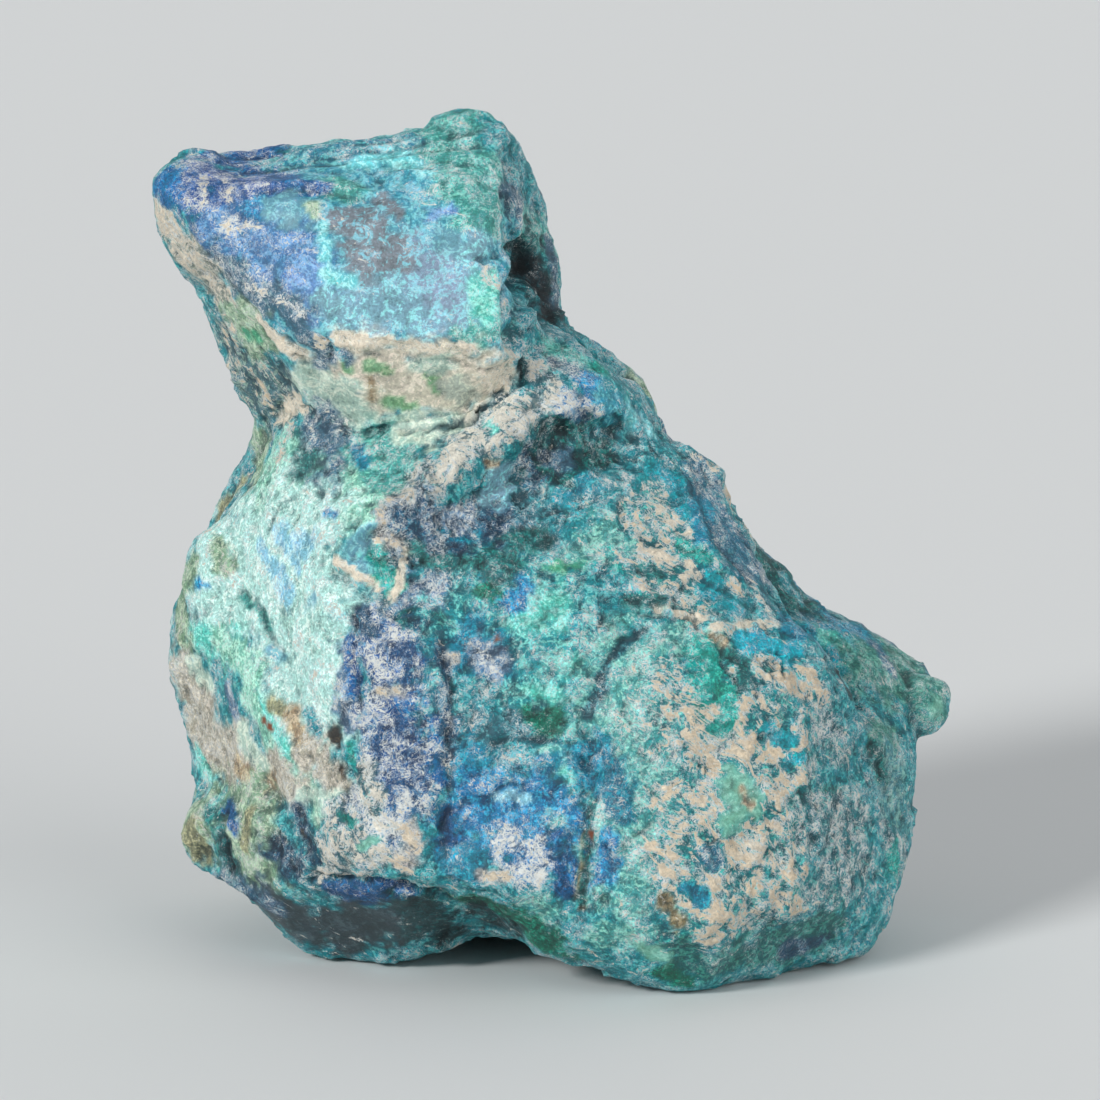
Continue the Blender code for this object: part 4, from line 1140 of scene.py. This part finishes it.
# Masks that show above a level: the pattern, the amount that raises it, the level, softness,
# and how it gathers where the shade pattern is high (or low)
masks = {}
for name, pattern, amount, level, soft, gathering in (
    ("vein", "islands", "share", 0.68, 0.014, 0.3),
    ("pits", "pits", "pits", 0.69, 0.025, -0.6),
    ("crustEdge", "crust", "crust", 0.65, 0.008, 0.3),
    ("crust", "crust", "crust", 0.68, 0.01, 0.3),
):
    raised = addNode("Math", {"operation": "ADD"}, {0: noises[pattern], 1: led["fray"]}).outputs[0]
    for source, gain in ((led["gather"], gathering), (amounts[amount], look["lift"])):
        raised = addNode("Math", {"operation": "MULTIPLY_ADD", 1: gain}, {0: source, 2: raised}).outputs[0]
    settings = {"interpolation_type": "SMOOTHSTEP", "From Min": level - soft, "From Max": level + soft}
    masks[name] = addNode("MapRange", settings, {"Value": raised}).outputs["Result"]

# Frayed threads where a pattern crosses a level, in gatherings and wider with the amount. The gaps are
# painted shadows that run beside the white threads of the frost
for name, pattern, amount, level, width, gathering, soft in (
    ("frost", "frost", "frost", 0.5, 0.14, 0.38, 0.005),
    ("threads", "lace", "frost", 0.5, 0.14, 0.55, 0.004),
    # painted shadow: a dark band beside each white frost thread
    ("gaps", "frost", "frost", 0.535, 0.16, 0.2, 0.006),
    ("cracks", "islands", "pits", 0.5, 0.35, -0.3, 0.005),
):
    off = addNode("Math", {"operation": "ADD"}, {0: noises[pattern], 1: led["fray"]}).outputs[0]
    off = addNode("Math", {"operation": "SUBTRACT", 1: level}, {0: off}).outputs[0]
    off = addNode("Math", {"operation": "ABSOLUTE"}, {0: off}).outputs[0]
    within = addNode("Math", {"operation": "MULTIPLY", 1: width}, {0: amounts[amount]}).outputs[0]
    settings = {"operation": "MULTIPLY_ADD", "use_clamp": True, 1: gathering}
    within = addNode("Math", settings, {0: led["gather"], 2: within}).outputs[0]
    within = addNode("Math", {"operation": "MULTIPLY"}, {0: within, 1: amounts[amount]}).outputs[0]
    within = addNode("Math", {"operation": "SUBTRACT"}, {0: within, 1: off}).outputs[0]
    settings = {"From Min": -0.5 * soft, "From Max": soft}
    masks[name] = addNode("MapRange", settings, {"Value": within}).outputs["Result"]

# The body: its two tones, their light and dark, and the deep tone of its cracks, its pits and the painted
# shadows beside its threads
links = {0: masks["vein"], 6: spread["bodyTone"]["Color"], 7: spread["veinTone"]["Color"]}
tone = addNode("Mix", {"data_type": "RGBA"}, links).outputs[2]
streaked = addNode("Math", {"operation": "MULTIPLY"}, {0: noises["streaks"], 1: amounts["fibre"]}).outputs[0]
settings = {"operation": "MULTIPLY_ADD", 2: look["dim"]}
brightness = addNode("Math", settings, {0: led["grain"], 1: led["coarse"]}).outputs[0]
for source, gain in ((noises["shade"], 1.5), (noises["islands"], 0.9), (streaked, 0.3)):
    links = {0: source, 2: brightness}
    brightness = addNode("Math", {"operation": "MULTIPLY_ADD", 1: gain}, links).outputs[0]
links = {"Hue": led["hue"], "Value": brightness, "Color": tone}
surface = addNode("HueSaturation", {"Saturation": look["saturation"]}, links).outputs[0]
settings = {"data_type": "RGBA", "blend_type": "MULTIPLY", 0: 1, 7: look["deepTint"]}
depth = addNode("Mix", settings, {6: tone}).outputs[2]

# The crust: white to beige
links = {0: led["warm"], 1: amounts["warmth"]}
warmth = addNode("Math", {"operation": "MULTIPLY", "use_clamp": True}, links).outputs[0]
settings = {"data_type": "RGBA", 6: linear(toneHex["crustWhite"]), 7: linear(toneHex["crustBeige"])}
coat = addNode("Mix", settings, {0: warmth}).outputs[2]
coat = addNode("HueSaturation", None, {"Value": led["coatShade"], "Color": coat}).outputs[0]

# What lies over the body: where, how strongly, and its colour
for where, strength, colour in (
    (masks["cracks"], 0.6, depth),
    # painted shadow beside the white frost threads
    (masks["gaps"], 0.7, depth),
    (masks["frost"], 0.82, linear(toneHex["frost"])),
    (masks["threads"], 0.92, linear(toneHex["thread"])),
    (masks["crustEdge"], 0.85, linear(toneHex["thread"])),
    (masks["crust"], 0.94, coat),
    (masks["pits"], 0.8, depth),
    (amounts["rust"], 1, linear(toneHex["rust"])),
):
    amount = addNode("Math", {"operation": "MULTIPLY", 1: strength}, {0: where}).outputs[0]
    settings, links = {"data_type": "RGBA"}, {0: amount, 6: surface}
    (settings if isinstance(colour, list) else links)[7] = colour
    surface = addNode("Mix", settings, links).outputs[2]
rockTree.links.new(surface, shader.inputs["Base Color"])

chalky = addNode("Math", {"operation": "MULTIPLY", 1: look["chalk"]}, {0: masks["crust"]}).outputs[0]
roughness = addNode("Math", {"operation": "MAXIMUM"}, {0: led["waxy"], 1: chalky}).outputs[0]
rockTree.links.new(roughness, shader.inputs["Roughness"])
shader.inputs["IOR"].default_value = look["ior"]

height = led["waxy"]
for source, weight in (
    (masks["crust"], 0.4), (masks["frost"], 0.2), (masks["threads"], 0.2), (masks["pits"], -0.4),
    (noises["tooth"], 0.4), (noises["pits"], 0.5), (noises["shade"], 0.8), (streaked, 0.8),
):
    height = addNode("Math", {"operation": "MULTIPLY_ADD", 1: weight}, {0: source, 2: height}).outputs[0]
links = {"Strength": led["keen"], "Height": height}
bump = addNode("Bump", {"Distance": look["relief"] * mm}, links).outputs[0]
rockTree.links.new(bump, shader.inputs["Normal"])
stoneMesh.materials.clear()
stoneMesh.materials.append(rock)
print("chrysocolla finished")

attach(stone, "root")
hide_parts("chrysocolla_stone")
